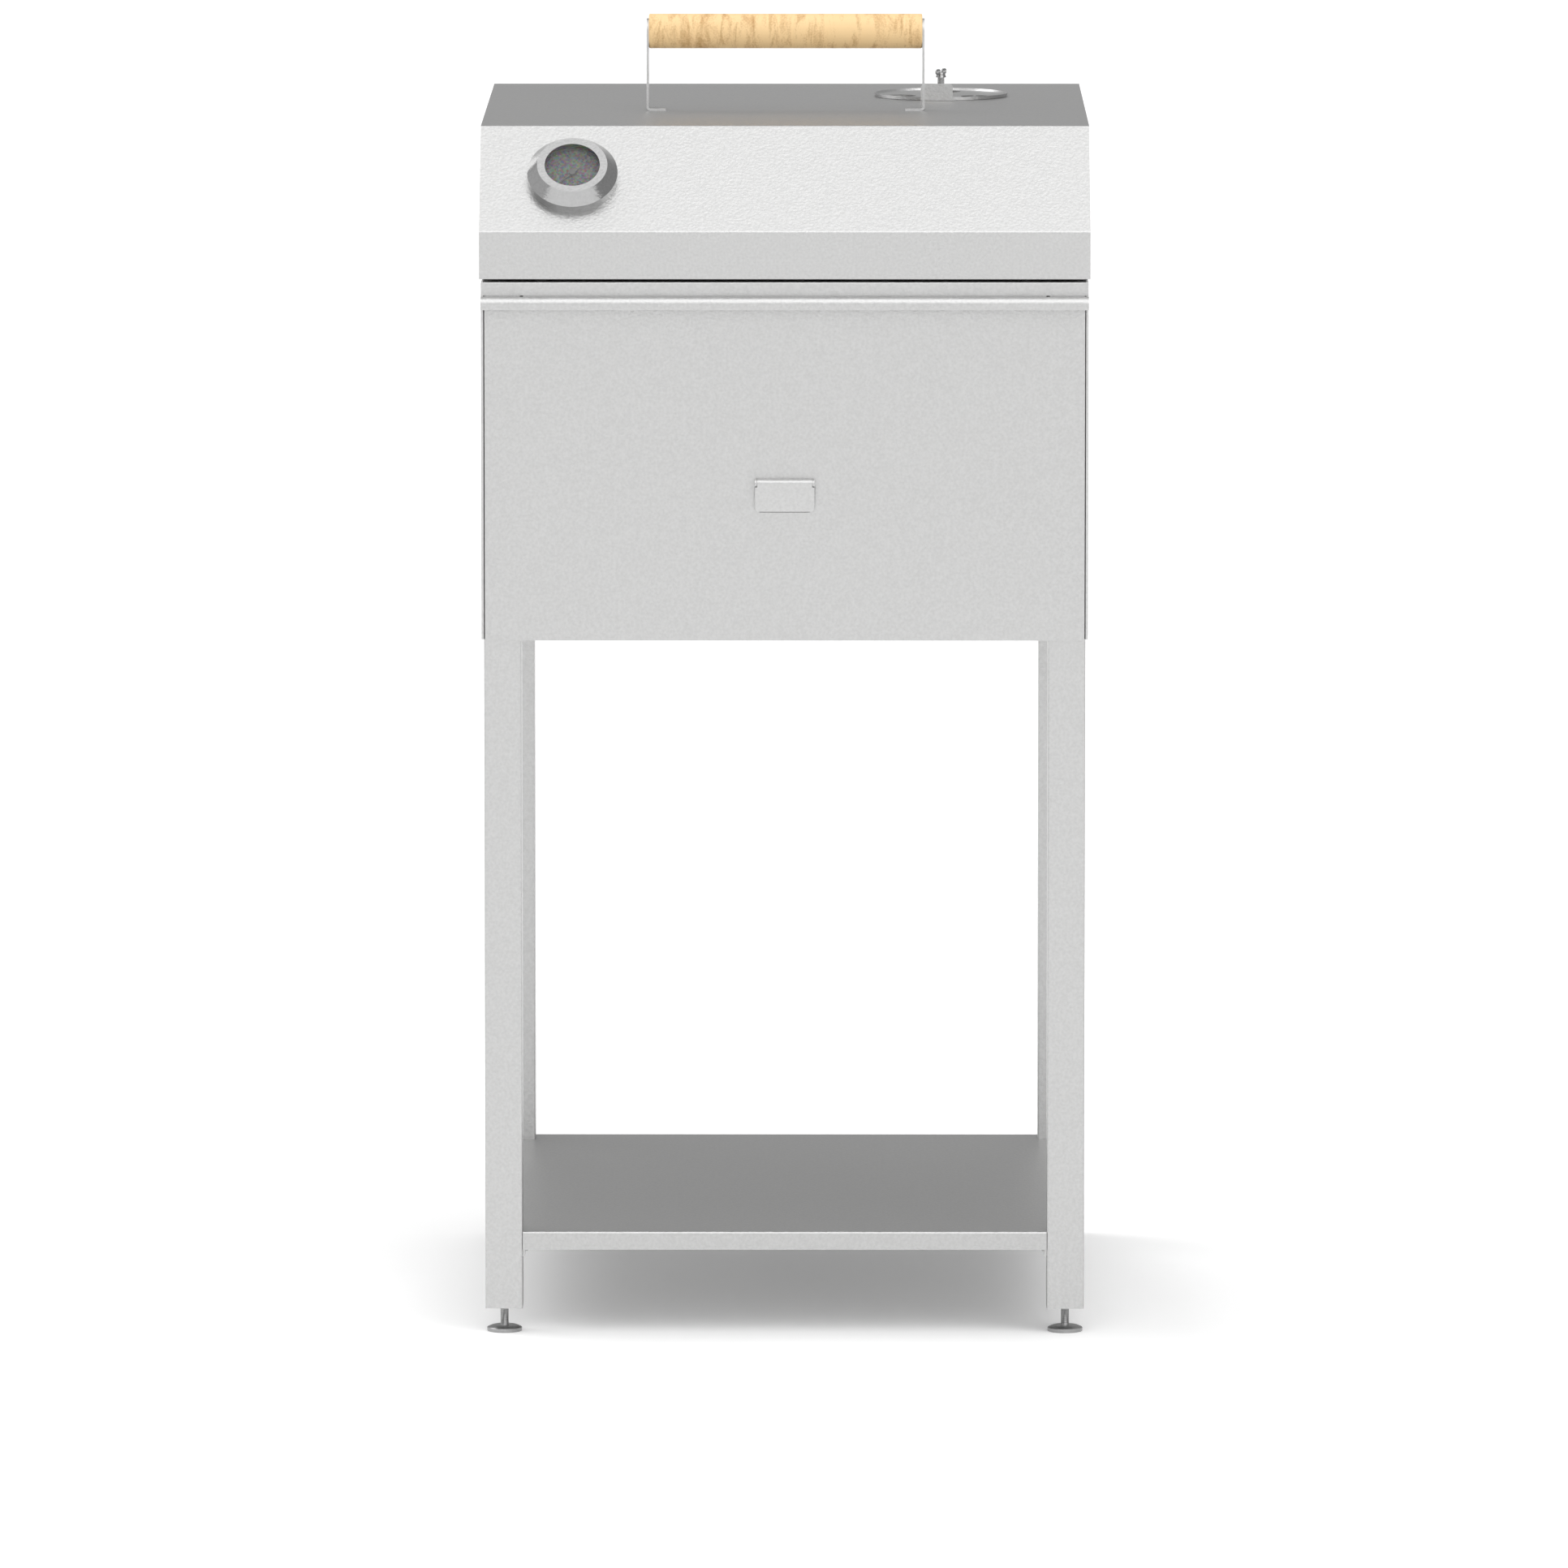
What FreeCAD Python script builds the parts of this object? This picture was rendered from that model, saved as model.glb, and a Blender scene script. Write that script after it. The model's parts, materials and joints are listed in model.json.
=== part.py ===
"""Free-standing charcoal grill with a hood lid, a charcoal drawer, four legs, a shelf and levelling feet.

Every physical piece is its own node. Sizes are in millimetres. The origin lies on the floor under the
middle of the grill, +Z points up and the front of the grill faces -Y.
"""
import FreeCAD, Part
import math
import os

V = FreeCAD.Vector

# Leg frame
FRAME_W = 513.0
FRAME_D = 594.0
LEG = 32.0
LEG_WALL = 2.0
LEG_CORNER_R = 1.5
LEG_BOTTOM = 21.4
PLUG_H = 20.0

# Levelling feet
PAD_R = 15.0
PAD_RIM_H = 3.5
PAD_TOP_R = 11.0
PAD_H = 5.0
FOOT_STUD_R = 3.6
FOOT_STUD_GRIP = 25.0

# Sheet metal
SHEET = 2.0
BEND = 0.5

# Shelf
SHELF_TOP = 88.3
SHELF_LIP = 15.9
BRACKET_LEG = 20.0
BRACKET_LENGTH = 24.0
BRACKET_SCREW_DROP = 12.0
BRACKET_SCREW_PITCH = 12.0

# Casing and firebox
CASING_BOTTOM = 597.6
CASING_TOP = 904.5
FLOOR_RAISE = 1.5
PANEL_RAISE = 1.0
PANEL_SCREW_INSET = 25.0
BACK_SCREW_STEP = 12.0
GRATE_LEDGE_TOP = 876.0
GRATE_LEDGE_W = 16.0
LINER_BOTTOM = 808.0

# Drawer
DRAWER_LEG_GAP = 0.3
DRAWER_SIDE_GAP = 1.0
LIP_TOP = 892.0
LIP_HEIGHT = 10.7
LIP_REACH = 13.2
LIP_BEND = 4.0
RAIL_LIP_GAP = 0.6
RAIL_STOP_DROP = 12.0
RUNNER_TOP = 778.0
RUNNER_W = 22.0
RUNNER_SLOT = 4.4
RUNNER_PLAY = 0.2
TRAY_SIDE_GAP = 1.5
TRAY_FLOOR_GAP = 4.9
TRAY_D = 530.0
CHARCOAL_TAB_RISE = 80.0
CHARCOAL_TAB_W = 12.0
CHARCOAL_TAB_HALF_LENGTH = 12.0
STUD_R = 2.5
STUD_LENGTH = 9.0
STUD_SIDE_INSET = 50.0
STUD_FLOOR_INSET = 34.0
STUD_RIM_INSET = 20.0

# Port in the drawer front and its flap
PORT_W = 47.0
PORT_H = 22.1
PORT_RISE = 120.9
PORT_CORNER_R = 3.0
PORT_TRAY_CLEAR = 1.0
FLAP_W = 50.6
FLAP_H = 28.1
FLAP_RISE = 17.8
FLAP_SHEET = 1.5
FLAP_ROLL_R = 3.6
FLAP_PIN_R = 1.5
FLAP_ROLL_GAP = 0.8
FLAP_REST_GAP = 0.4
FLAP_LUG_R = 3.4
FLAP_LUG_SHEET = 1.5
FLAP_LUG_GAP = 0.3
FLAP_SHOULDER = 2.4

# Grates
BAR_R = 3.0
CROSS_BAR_R = 4.0
BAR_BITE = 1.0
REST_GAP = 0.3
COOKING_PITCH = 18.0
COOKING_SIDE_GAP = 3.0
COOKING_SPLIT_GAP = 3.0
CHARCOAL_PITCH = 19.0
CHARCOAL_SIDE_GAP = 3.0
CHARCOAL_END_GAP = 11.0
GRATE_EDGE = 2.0
CROSS_BAR_INSET = 14.0

# Lid
LID_SIDE_OVERHANG = 1.5
LID_END_OVERHANG = 1.0
LID_GAP = 2.2
LID_SKIRT = 40.3
LID_SLOPE = 84.4
LID_SLOPE_ANGLE = 45.0
LID_FRONT_FLANGE = 26.0
LID_PAD_R = 5.0
LID_PAD_GAP = 0.2
LID_PAD_INSET = 54.0

# Lid hinges
HINGE_INSET = 92.0
HINGE_W = 60.0
HINGE_LEAF = 2.5
HINGE_LEAF_H = 40.0
HINGE_KNUCKLE_R = 6.0
HINGE_PIN_R = 3.0
MIDDLE_KNUCKLE_W = 20.0
HINGE_BACK_GAP = 0.5
KNUCKLE_GAP = 0.3
HINGE_SCREW_PITCH = 20.0
HINGE_SCREW_DROP = 26.0
SCREW_TAIL = 5.0

# Handle
GRIP_R = 15.0
GRIP_LENGTH = 237.0
HANDLE_Y = -28.0
HANDLE_RISE = 68.5
ARM_W = 22.0
ARM_BEND = 1.0
ARM_TAB = 14.8
CORE_ROD_R = 4.0
ARM_SCREW_PITCH = 12.0

# Thermometer
GAUGE_INSET = 79.0
GAUGE_BASE_R = 38.5
GAUGE_BASE_H = 8.0
GAUGE_FACE_R = 30.0
GAUGE_H = 18.0
GAUGE_OPENING_R = 23.5
GAUGE_CAVITY_R = 26.0
GAUGE_RECESS = 3.5
GAUGE_LENS = 2.0
GLASS_FIT = 0.1
GAUGE_FLOOR = 4.0
DIAL_SHEET = 1.5
NECK_R = 5.0
NECK_LENGTH = 10.0
NECK_TOP = 3.0
PROBE_R = 3.0
PROBE_LENGTH = 65.0
GAUGE_NUT_AF = 16.0
GAUGE_NUT_H = 5.0
POINTER_LENGTH = 19.0
POINTER_TAIL = 7.0
POINTER_W = 1.6
POINTER_TIP_W = 0.6
POINTER_HUB_R = 2.8
POINTER_SHAFT_R = 1.0
POINTER_RAISE = 1.5
POINTER_HUB_H = 2.0
POINTER_SHEET = 0.8
POINTER_REST_TURN = 135.0

# Vent damper
DAMPER_SIDE_INSET = 124.0
DAMPER_BACK_INSET = 158.0
DAMPER_R = 58.8
DAMPER_SHEET = 1.2
DAMPER_RIM_H = 3.0
DAMPER_RIM_FLARE = 1.25
DAMPER_TONGUE = 6.0
DAMPER_TAB_STAND = 0.6
DAMPER_LIFT = 0.2
DAMPER_TURN = -4.0
DAMPER_TAB_W = 28.0
DAMPER_TAB_H = 14.8
DAMPER_TAB_CORNER_R = 3.5
VENT_COUNT = 3
VENT_R = 13.0
VENT_RING_R = 38.0
VENT_TURN = 87.0
WING_SHANK_R = 3.0
WING_SHANK_UP = 16.5
WING_SHANK_DOWN = 10.0
WING_HUB_R = 4.6
WING_HUB_TOP_R = 3.7
WING_HUB_H = 4.5
WING_SPAN = 22.0
WING_RISE = 3.0
WING_SHEET = 2.2
WING_CORNER_R = 2.0
WING_TURN = 65.0
DAMPER_NUT_AF = 10.0
DAMPER_NUT_H = 5.0
NUT_FLANGE_R = 9.0
NUT_FLANGE_H = 1.0

# Fasteners and fits
SCREW_R = 2.5
SCREW_HEAD_R = 4.5
SCREW_HEAD_H = 2.6
SCREW_HEAD_ROUND = 1.2
SOCKET_AF = 3.0
SOCKET_DEPTH = 1.4
FLAT_SCREW_R = 2.0
FLAT_HEAD_R = 4.0
FLAT_SCREW_LENGTH = 8.0
STUD_NUT_AF = 8.0
STUD_NUT_H = 4.0
RUN_FIT = 0.05
SNUG_FIT = 0.02
HOLE_FIT = 0.1

# Places worked out from the sizes above
HALF_W = FRAME_W / 2
HALF_D = FRAME_D / 2
LEG_X = HALF_W - LEG / 2
LEG_Y = HALF_D - LEG / 2
BAY_X = HALF_W - LEG
BAY_Y = HALF_D - LEG
CASING_X = HALF_W + SHEET
CASING_Y = HALF_D + SHEET
FLANGE_UNDER = CASING_TOP - SHEET
FLOOR_Z = CASING_BOTTOM + FLOOR_RAISE
FLANGE_X = BAY_X - SHEET
FLANGE_Y = BAY_Y - SHEET
LEDGE_X = FLANGE_X - GRATE_LEDGE_W

DRAWER_BACK_Y = -HALF_D - DRAWER_LEG_GAP
DRAWER_FRONT_Y = DRAWER_BACK_Y - SHEET
LIP_Y = DRAWER_FRONT_Y - LIP_REACH
TRAY_X = BAY_X - RUNNER_W - TRAY_SIDE_GAP
TRAY_BACK_Y = DRAWER_BACK_Y + TRAY_D
TRAY_BOTTOM = FLOOR_Z + SHEET + TRAY_FLOOR_GAP
TRAY_RIM = RUNNER_TOP + RUNNER_PLAY + SHEET
CHARCOAL_TAB_TOP = TRAY_BOTTOM + CHARCOAL_TAB_RISE
PORT_Z = CASING_BOTTOM + PORT_RISE
FLAP_TOP = PORT_Z + FLAP_RISE
FLAP_AXIS_Y = DRAWER_FRONT_Y - FLAP_ROLL_GAP - FLAP_ROLL_R
FLAP_AXIS_Z = FLAP_TOP - FLAP_ROLL_R
FLAP_REACH = FLAP_H - FLAP_ROLL_R
FLAP_BACK = FLAP_ROLL_R - FLAP_SHEET
FLAP_FOOT_IN = FLAP_ROLL_GAP + FLAP_ROLL_R - FLAP_REST_GAP
FLAP_LEAN = math.degrees(math.asin(FLAP_FOOT_IN / math.hypot(FLAP_REACH, FLAP_BACK))
                         + math.atan(FLAP_BACK / FLAP_REACH))

LID_W = 2 * (CASING_X + LID_SIDE_OVERHANG)
LID_D = 2 * (CASING_Y + LID_END_OVERHANG)
LID_BOTTOM = CASING_TOP + LID_GAP
LID_SHOULDER = LID_BOTTOM + LID_SKIRT
LID_TOP = LID_SHOULDER + LID_SLOPE
LID_X = LID_W / 2
LID_Y = LID_D / 2
LID_PAD_X = LID_X - LID_PAD_INSET
HINGE_X = LID_X - HINGE_INSET
HINGE_Y = LID_Y + HINGE_BACK_GAP + HINGE_KNUCKLE_R
HINGE_Z = (CASING_TOP + LID_BOTTOM) / 2
HANDLE_Z = LID_TOP + HANDLE_RISE
GAUGE_X = GAUGE_INSET - LID_X
GAUGE_Y = -LID_Y + LID_SLOPE / 2
GAUGE_Z = LID_SHOULDER + LID_SLOPE / 2
DAMPER_X = LID_X - DAMPER_SIDE_INSET
DAMPER_Y = LID_Y - DAMPER_BACK_INSET
DAMPER_Z = LID_TOP + DAMPER_LIFT

SIDES = {"left": -1, "right": 1}
ENDS = {"front": -1, "rear": 1}

parts = {}


def box(x0, x1, y0, y1, z0, z1):
    """Block between two corners."""
    return Part.makeBox(x1 - x0, y1 - y0, z1 - z0, V(x0, y0, z0))


def rod(start, end, radius):
    """Round bar from one point to another."""
    along = end - start
    return Part.makeCylinder(radius, along.Length, start, along)


def hex_prism(centre, across_flats, height):
    """Upright hexagon standing on its centre point."""
    radius = across_flats / math.sqrt(3)
    angles = [math.radians(60 * k) for k in range(6)]
    corners = [centre + V(radius * math.cos(a), radius * math.sin(a), 0) for a in angles]
    face = Part.Face(Part.makePolygon(corners + corners[:1]))
    return face.extrude(V(0, 0, height))


def mirrored(shape):
    """Left-hand copy of a right-hand piece."""
    return shape.mirror(V(0, 0, 0), V(1, 0, 0))


def joined(shapes):
    """One solid out of touching or overlapping ones."""
    return shapes[0].fuse(shapes[1:]).removeSplitter()


def turned(profile, centre):
    """Solid of revolution about the upright line through centre, from (radius, height) corners."""
    corners = [centre + V(r, 0, h) for r, h in profile]
    face = Part.Face(Part.makePolygon(corners + corners[:1]))
    return face.revolve(centre, V(0, 0, 1), 360)


def on_yz(x):
    """Map profile coordinates to the plane across the grill at x."""
    return lambda u, v: V(x, u, v)


def on_xz(y):
    """Map profile coordinates to the plane facing the front at y."""
    return lambda u, v: V(u, y, v)


def rounded_face(corners, place):
    """Flat face through (u, v, radius) corners, each corner rounded with its own radius."""
    edges = []
    starts = []
    ends = []
    middles = []
    count = len(corners)
    for i, (u, v, radius) in enumerate(corners):
        here = V(u, v, 0)
        before = V(*corners[i - 1][:2], 0) - here
        after = V(*corners[(i + 1) % count][:2], 0) - here
        before.normalize()
        after.normalize()
        half = before.getAngle(after) / 2
        bisector = before + after
        if radius > 0 and bisector.Length > 1e-9:
            bisector.normalize()
            reach = radius / math.tan(half)
            starts.append(here + before * reach)
            ends.append(here + after * reach)
            middles.append(here + bisector * (radius / math.sin(half) - radius))
        else:
            starts.append(here)
            ends.append(here)
            middles.append(None)
    spot = [[place(p.x, p.y) if p is not None else None for p in row] for row in (starts, middles, ends)]
    for i in range(count):
        if spot[1][i] is not None:
            edges.append(Part.Arc(spot[0][i], spot[1][i], spot[2][i]).toShape())
        follower = spot[0][(i + 1) % count]
        if (follower - spot[2][i]).Length > 1e-6:
            edges.append(Part.makeLine(spot[2][i], follower))
    return Part.Face(Part.Wire(edges))


def sheet_corners(path, thickness, bend):
    """Corners of both faces of a bent sheet that lies to the left of its path, with their radii."""
    points = [V(u, v, 0) for u, v in path]
    headings = [(points[i + 1] - points[i]).normalize() for i in range(len(points) - 1)]
    normals = [V(-h.y, h.x, 0) for h in headings]
    near = []
    far = []
    for i, point in enumerate(points):
        first = normals[max(i - 1, 0)]
        second = normals[min(i, len(normals) - 1)]
        offset = (first + second) * (thickness / (1 + first.dot(second)))
        near_r = 0.0
        far_r = 0.0
        if 0 < i < len(points) - 1:
            turns_left = headings[i - 1].cross(headings[i]).z > 0
            near_r = bend + thickness if turns_left else bend
            far_r = bend if turns_left else bend + thickness
        near.append((point.x, point.y, near_r))
        far.append((point.x + offset.x, point.y + offset.y, far_r))
    return near, far


def bent_sheet(path, place, sweep, thickness=SHEET, bend=BEND):
    """Folded sheet: the path is one face, the metal lies to its left, swept along a vector."""
    near, far = sheet_corners(path, thickness, bend)
    return rounded_face(near + far[::-1], place).extrude(sweep)


def aimed(shape, outward):
    """Copy of a piece made upright at the origin, turned so that its top points outward."""
    placed = shape.copy()
    placed.Placement = FreeCAD.Placement(V(0, 0, 0), FreeCAD.Rotation(V(0, 0, 1), outward))
    return placed


def screw(seat, outward, length):
    """Button-head socket screw whose head stands on its seat and whose shank runs inward."""
    outline = [(0, -length, 0), (SCREW_R, -length, 0), (SCREW_R, 0, 0), (SCREW_HEAD_R, 0, 0),
               (SCREW_HEAD_R, SCREW_HEAD_H, SCREW_HEAD_ROUND), (0, SCREW_HEAD_H, 0)]
    body = rounded_face(outline, on_xz(0)).revolve(V(0, 0, 0), V(0, 0, 1), 360)
    body = body.cut(hex_prism(V(0, 0, SCREW_HEAD_H - SOCKET_DEPTH), SOCKET_AF, SOCKET_DEPTH + 1))
    placed = aimed(body, outward)
    placed.translate(seat)
    return placed


def screw_hole(seat, outward, length):
    """Clearance hole for the shank of a button-head screw."""
    return Part.makeCylinder(SCREW_R + HOLE_FIT, length, seat, -outward)


def flat_screw(seat, outward, clearance=0.0):
    """Countersunk socket screw flush with its seat, or the plain hole for it when clearance is given."""
    inward = -outward
    head = Part.makeCone(FLAT_HEAD_R + clearance, FLAT_SCREW_R + clearance, SHEET, seat, inward)
    shank = Part.makeCylinder(FLAT_SCREW_R + clearance, FLAT_SCREW_LENGTH + clearance, seat, inward)
    body = joined([head, shank])
    if clearance:
        return body
    socket = aimed(hex_prism(V(0, 0, -SOCKET_DEPTH), SOCKET_AF, SOCKET_DEPTH + 1), outward)
    socket.translate(seat)
    return body.cut(socket)


def casing_screw_seats():
    """Seats and directions of the flush screws that hold side and back panels to the legs."""
    heights = [FLOOR_Z + PANEL_SCREW_INSET, (FLOOR_Z + CASING_TOP) / 2, CASING_TOP - PANEL_SCREW_INSET]
    seats = []
    for side in SIDES.values():
        for end in ENDS.values():
            for z in heights:
                seats.append((V(side * CASING_X, end * LEG_Y, z), V(side, 0, 0)))
        for z in heights:
            seats.append((V(side * LEG_X, CASING_Y, z - BACK_SCREW_STEP), V(0, 1, 0)))
    return seats


def shelf_screw_seats():
    """Seats of the screws that go through the shelf brackets into the legs."""
    z = SHELF_TOP - SHEET - BRACKET_SCREW_DROP
    return [(V(side * FLANGE_X, end * LEG_Y + k * BRACKET_SCREW_PITCH / 2, z), V(-side, 0, 0))
            for side in SIDES.values() for end in ENDS.values() for k in (-1, 1)]


def hinge_screw_seats(face_y, z):
    """Seats of one row of hinge screws on the back of the casing or of the lid."""
    return [(V(side * HINGE_X + k * HINGE_SCREW_PITCH, face_y + HINGE_LEAF, z), V(0, 1, 0))
            for side in SIDES.values() for k in (-1, 0, 1)]


CASING_HINGE_SCREWS = hinge_screw_seats(CASING_Y, HINGE_Z - HINGE_SCREW_DROP)
LID_HINGE_SCREWS = hinge_screw_seats(LID_Y, HINGE_Z + HINGE_SCREW_DROP)
HINGE_SCREW_LENGTH = HINGE_LEAF + SHEET + SCREW_TAIL
SHELF_SCREW_LENGTH = SHEET + LEG_WALL + SCREW_TAIL


def arm_screw_seats():
    """Seats under the lid of the screws that hold the handle arms."""
    tab_x = GRIP_LENGTH / 2 - ARM_TAB / 2
    return [(V(side * tab_x, HANDLE_Y + k * ARM_SCREW_PITCH / 2, LID_TOP - SHEET), V(0, 0, -1))
            for side in SIDES.values() for k in (-1, 1)]


def tray_stud_spots():
    """Places on the drawer front of the studs that carry the tray."""
    low = TRAY_BOTTOM + STUD_FLOOR_INSET
    high = TRAY_RIM - STUD_RIM_INSET
    side = TRAY_X - STUD_SIDE_INSET
    return [V(x, DRAWER_BACK_Y, z) for x in (-side, 0, side) for z in (low, high)]


def vent_spots(turn):
    """Centres of the vent holes round the damper axis, turned from fully open by an angle in degrees."""
    angles = [math.radians(VENT_TURN + turn + 360 * k / VENT_COUNT) for k in range(VENT_COUNT)]
    centre = V(DAMPER_X, DAMPER_Y, 0)
    return [centre + V(math.cos(a), math.sin(a), 0) * VENT_RING_R for a in angles]


def on_gauge_axis(shape):
    """Move a piece made upright at the origin to the thermometer's place on the lid slope."""
    placed = shape.copy()
    placed.rotate(V(0, 0, 0), V(1, 0, 0), LID_SLOPE_ANGLE)
    placed.translate(V(GAUGE_X, GAUGE_Y, GAUGE_Z))
    return placed


def make_legs():
    """Four square tubes, plugged at the bottom, with the screw holes of casing and shelf."""
    holes = [flat_screw(seat, out, RUN_FIT) for seat, out in casing_screw_seats()]
    holes += [screw_hole(seat, out, SHELF_SCREW_LENGTH) for seat, out in shelf_screw_seats()]
    bore = FOOT_STUD_R + RUN_FIT
    inner = LEG / 2 - LEG_WALL
    plugs = []
    for end_name, end in ENDS.items():
        for side_name, side in SIDES.items():
            x = side * LEG_X
            y = end * LEG_Y
            tube = box(x - LEG / 2, x + LEG / 2, y - LEG / 2, y + LEG / 2, LEG_BOTTOM, FLANGE_UNDER)
            tube = tube.makeFillet(LEG_CORNER_R, [e for e in tube.Edges if e.BoundBox.ZLength > LEG])
            hollow = box(x - inner, x + inner, y - inner, y + inner, LEG_BOTTOM - 1, FLANGE_UNDER + 1)
            near = [h for h in holes if h.BoundBox.intersect(tube.BoundBox)]
            parts[f"leg_{end_name}_{side_name}"] = tube.cut([hollow] + near)
            plug = box(x - inner, x + inner, y - inner, y + inner, LEG_BOTTOM, LEG_BOTTOM + PLUG_H)
            plugs.append(plug.cut(rod(V(x, y, 0), V(x, y, LEG_BOTTOM + PLUG_H + 1), bore)))
    parts["leg_end_plugs"] = Part.makeCompound(plugs)


def make_feet():
    """Levelling feet: a bevelled pad with its threaded stud, one per leg."""
    profile = [(0, 0), (PAD_R, 0), (PAD_R, PAD_RIM_H), (PAD_TOP_R, PAD_H), (FOOT_STUD_R, PAD_H),
               (FOOT_STUD_R, LEG_BOTTOM + FOOT_STUD_GRIP), (0, LEG_BOTTOM + FOOT_STUD_GRIP)]
    for end_name, end in ENDS.items():
        for side_name, side in SIDES.items():
            parts[f"foot_{end_name}_{side_name}"] = turned(profile, V(side * LEG_X, end * LEG_Y, 0))


def make_shelf():
    """Bottom shelf folded down on four sides and notched round the legs, with brackets and screws."""
    low = SHELF_TOP - SHELF_LIP
    along = [(HALF_D, low), (HALF_D, SHELF_TOP), (-HALF_D, SHELF_TOP), (-HALF_D, low)]
    across = [(HALF_W, low), (HALF_W, SHELF_TOP), (-HALF_W, SHELF_TOP), (-HALF_W, low)]
    middle = bent_sheet(along, on_yz(-BAY_X), V(2 * BAY_X, 0, 0))
    wings = bent_sheet(across, on_xz(-BAY_Y), V(0, 2 * BAY_Y, 0))
    parts["shelf"] = joined([middle, wings])
    holes = [screw_hole(seat, out, SHELF_SCREW_LENGTH) for seat, out in shelf_screw_seats()]
    under = SHELF_TOP - SHEET
    brackets = []
    for side in SIDES.values():
        for end in ENDS.values():
            y0 = end * LEG_Y - BRACKET_LENGTH / 2
            path = [(BAY_X, under - BRACKET_LEG), (BAY_X, under), (BAY_X - BRACKET_LEG, under)]
            bracket = bent_sheet(path, on_xz(y0), V(0, BRACKET_LENGTH, 0))
            bracket = bracket if side > 0 else mirrored(bracket)
            brackets.append(bracket.cut(holes))
    parts["shelf_brackets"] = Part.makeCompound(brackets)
    parts["shelf_screws"] = Part.makeCompound([screw(seat, out, SHELF_SCREW_LENGTH)
                                               for seat, out in shelf_screw_seats()])


def make_casing():
    """Side panels, back panel, floor and front rail with its drawer stop, and their flush screws."""
    seats = casing_screw_seats()
    holes = [flat_screw(seat, out, RUN_FIT) for seat, out in seats]
    panel_bottom = CASING_BOTTOM + PANEL_RAISE
    side_path = [(CASING_X, panel_bottom), (CASING_X, CASING_TOP), (FLANGE_X, CASING_TOP)]
    side = bent_sheet(side_path, on_xz(-CASING_Y), V(0, 2 * CASING_Y, 0), bend=0)
    ends = [box(FLANGE_X - 1, HALF_W, y0, y1, panel_bottom, CASING_TOP + 1)
            for y0, y1 in ((-CASING_Y - 1, -HALF_D), (HALF_D, CASING_Y + 1))]
    side = side.cut(ends)
    parts["side_panel_right"] = side.cut(holes)
    parts["side_panel_left"] = mirrored(side).cut(holes)

    back_path = [(CASING_Y, panel_bottom), (CASING_Y, CASING_TOP), (FLANGE_Y, CASING_TOP)]
    back = bent_sheet(back_path, on_yz(-HALF_W), V(2 * HALF_W, 0, 0), bend=0)
    corners = [box(x0, x1, FLANGE_Y - 1, HALF_D, panel_bottom, CASING_TOP + 1)
               for x0, x1 in ((-HALF_W - 1, -FLANGE_X), (FLANGE_X, HALF_W + 1))]
    hinge_holes = [screw_hole(seat, out, HINGE_SCREW_LENGTH) for seat, out in CASING_HINGE_SCREWS]
    parts["back_panel"] = back.cut(corners + holes + hinge_holes)

    floor = box(-HALF_W, HALF_W, -HALF_D, HALF_D, FLOOR_Z, FLOOR_Z + SHEET)
    notches = []
    for s in SIDES.values():
        for e in ENDS.values():
            x0 = s * LEG_X - LEG / 2
            y0 = e * LEG_Y - LEG / 2
            notches.append(box(x0, x0 + LEG, y0, y0 + LEG, FLOOR_Z - 1, FLOOR_Z + SHEET + 1))
    parts["casing_floor"] = floor.cut(notches)

    rail_path = [(-FLANGE_Y, CASING_TOP), (-CASING_Y, CASING_TOP), (-CASING_Y, LIP_TOP + RAIL_LIP_GAP)]
    rail = bent_sheet(rail_path, on_yz(-HALF_W), V(2 * HALF_W, 0, 0), bend=0)
    corners = [box(x0, x1, -HALF_D, -FLANGE_Y + 1, LIP_TOP, CASING_TOP + 1)
               for x0, x1 in ((-HALF_W - 1, -FLANGE_X), (FLANGE_X, HALF_W + 1))]
    stop = box(-FLANGE_X, FLANGE_X, -HALF_D, -HALF_D + SHEET, LIP_TOP - RAIL_STOP_DROP, FLANGE_UNDER)
    parts["front_rail"] = joined([rail.cut(corners), stop])
    parts["casing_screws"] = Part.makeCompound([flat_screw(seat, out) for seat, out in seats])

    pad_y = -LID_Y + LID_FRONT_FLANGE / 2
    pad_h = LID_GAP - LID_PAD_GAP
    feet = [V(s * LID_PAD_X, pad_y, CASING_TOP) for s in SIDES.values()]
    parts["lid_rest_pads"] = Part.makeCompound([Part.makeCylinder(LID_PAD_R, pad_h, p) for p in feet])


def make_firebox():
    """Stepped side liners that carry the grates, plain end liners, and the drawer runners."""
    step = [(FLANGE_X, FLANGE_UNDER), (FLANGE_X, GRATE_LEDGE_TOP), (LEDGE_X, GRATE_LEDGE_TOP),
            (LEDGE_X, LINER_BOTTOM)]
    liner = bent_sheet(step, on_xz(-BAY_Y), V(0, 2 * BAY_Y, 0), bend=0)
    parts["liner_right"] = liner
    parts["liner_left"] = mirrored(liner)
    for name, y0 in (("liner_front", -BAY_Y), ("liner_rear", FLANGE_Y)):
        upper = box(-FLANGE_X, FLANGE_X, y0, y0 + SHEET, GRATE_LEDGE_TOP, FLANGE_UNDER)
        lower = box(-LEDGE_X, LEDGE_X, y0, y0 + SHEET, LINER_BOTTOM, GRATE_LEDGE_TOP)
        parts[name] = joined([upper, lower])
    upper_z = RUNNER_TOP + RUNNER_SLOT + SHEET
    channel = [(BAY_X - RUNNER_W, RUNNER_TOP - SHEET), (BAY_X, RUNNER_TOP - SHEET), (BAY_X, upper_z),
               (BAY_X - RUNNER_W, upper_z)]
    runner = bent_sheet(channel, on_xz(-HALF_D), V(0, 2 * HALF_D, 0), bend=0)
    parts["drawer_runner_right"] = runner
    parts["drawer_runner_left"] = mirrored(runner)


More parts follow.
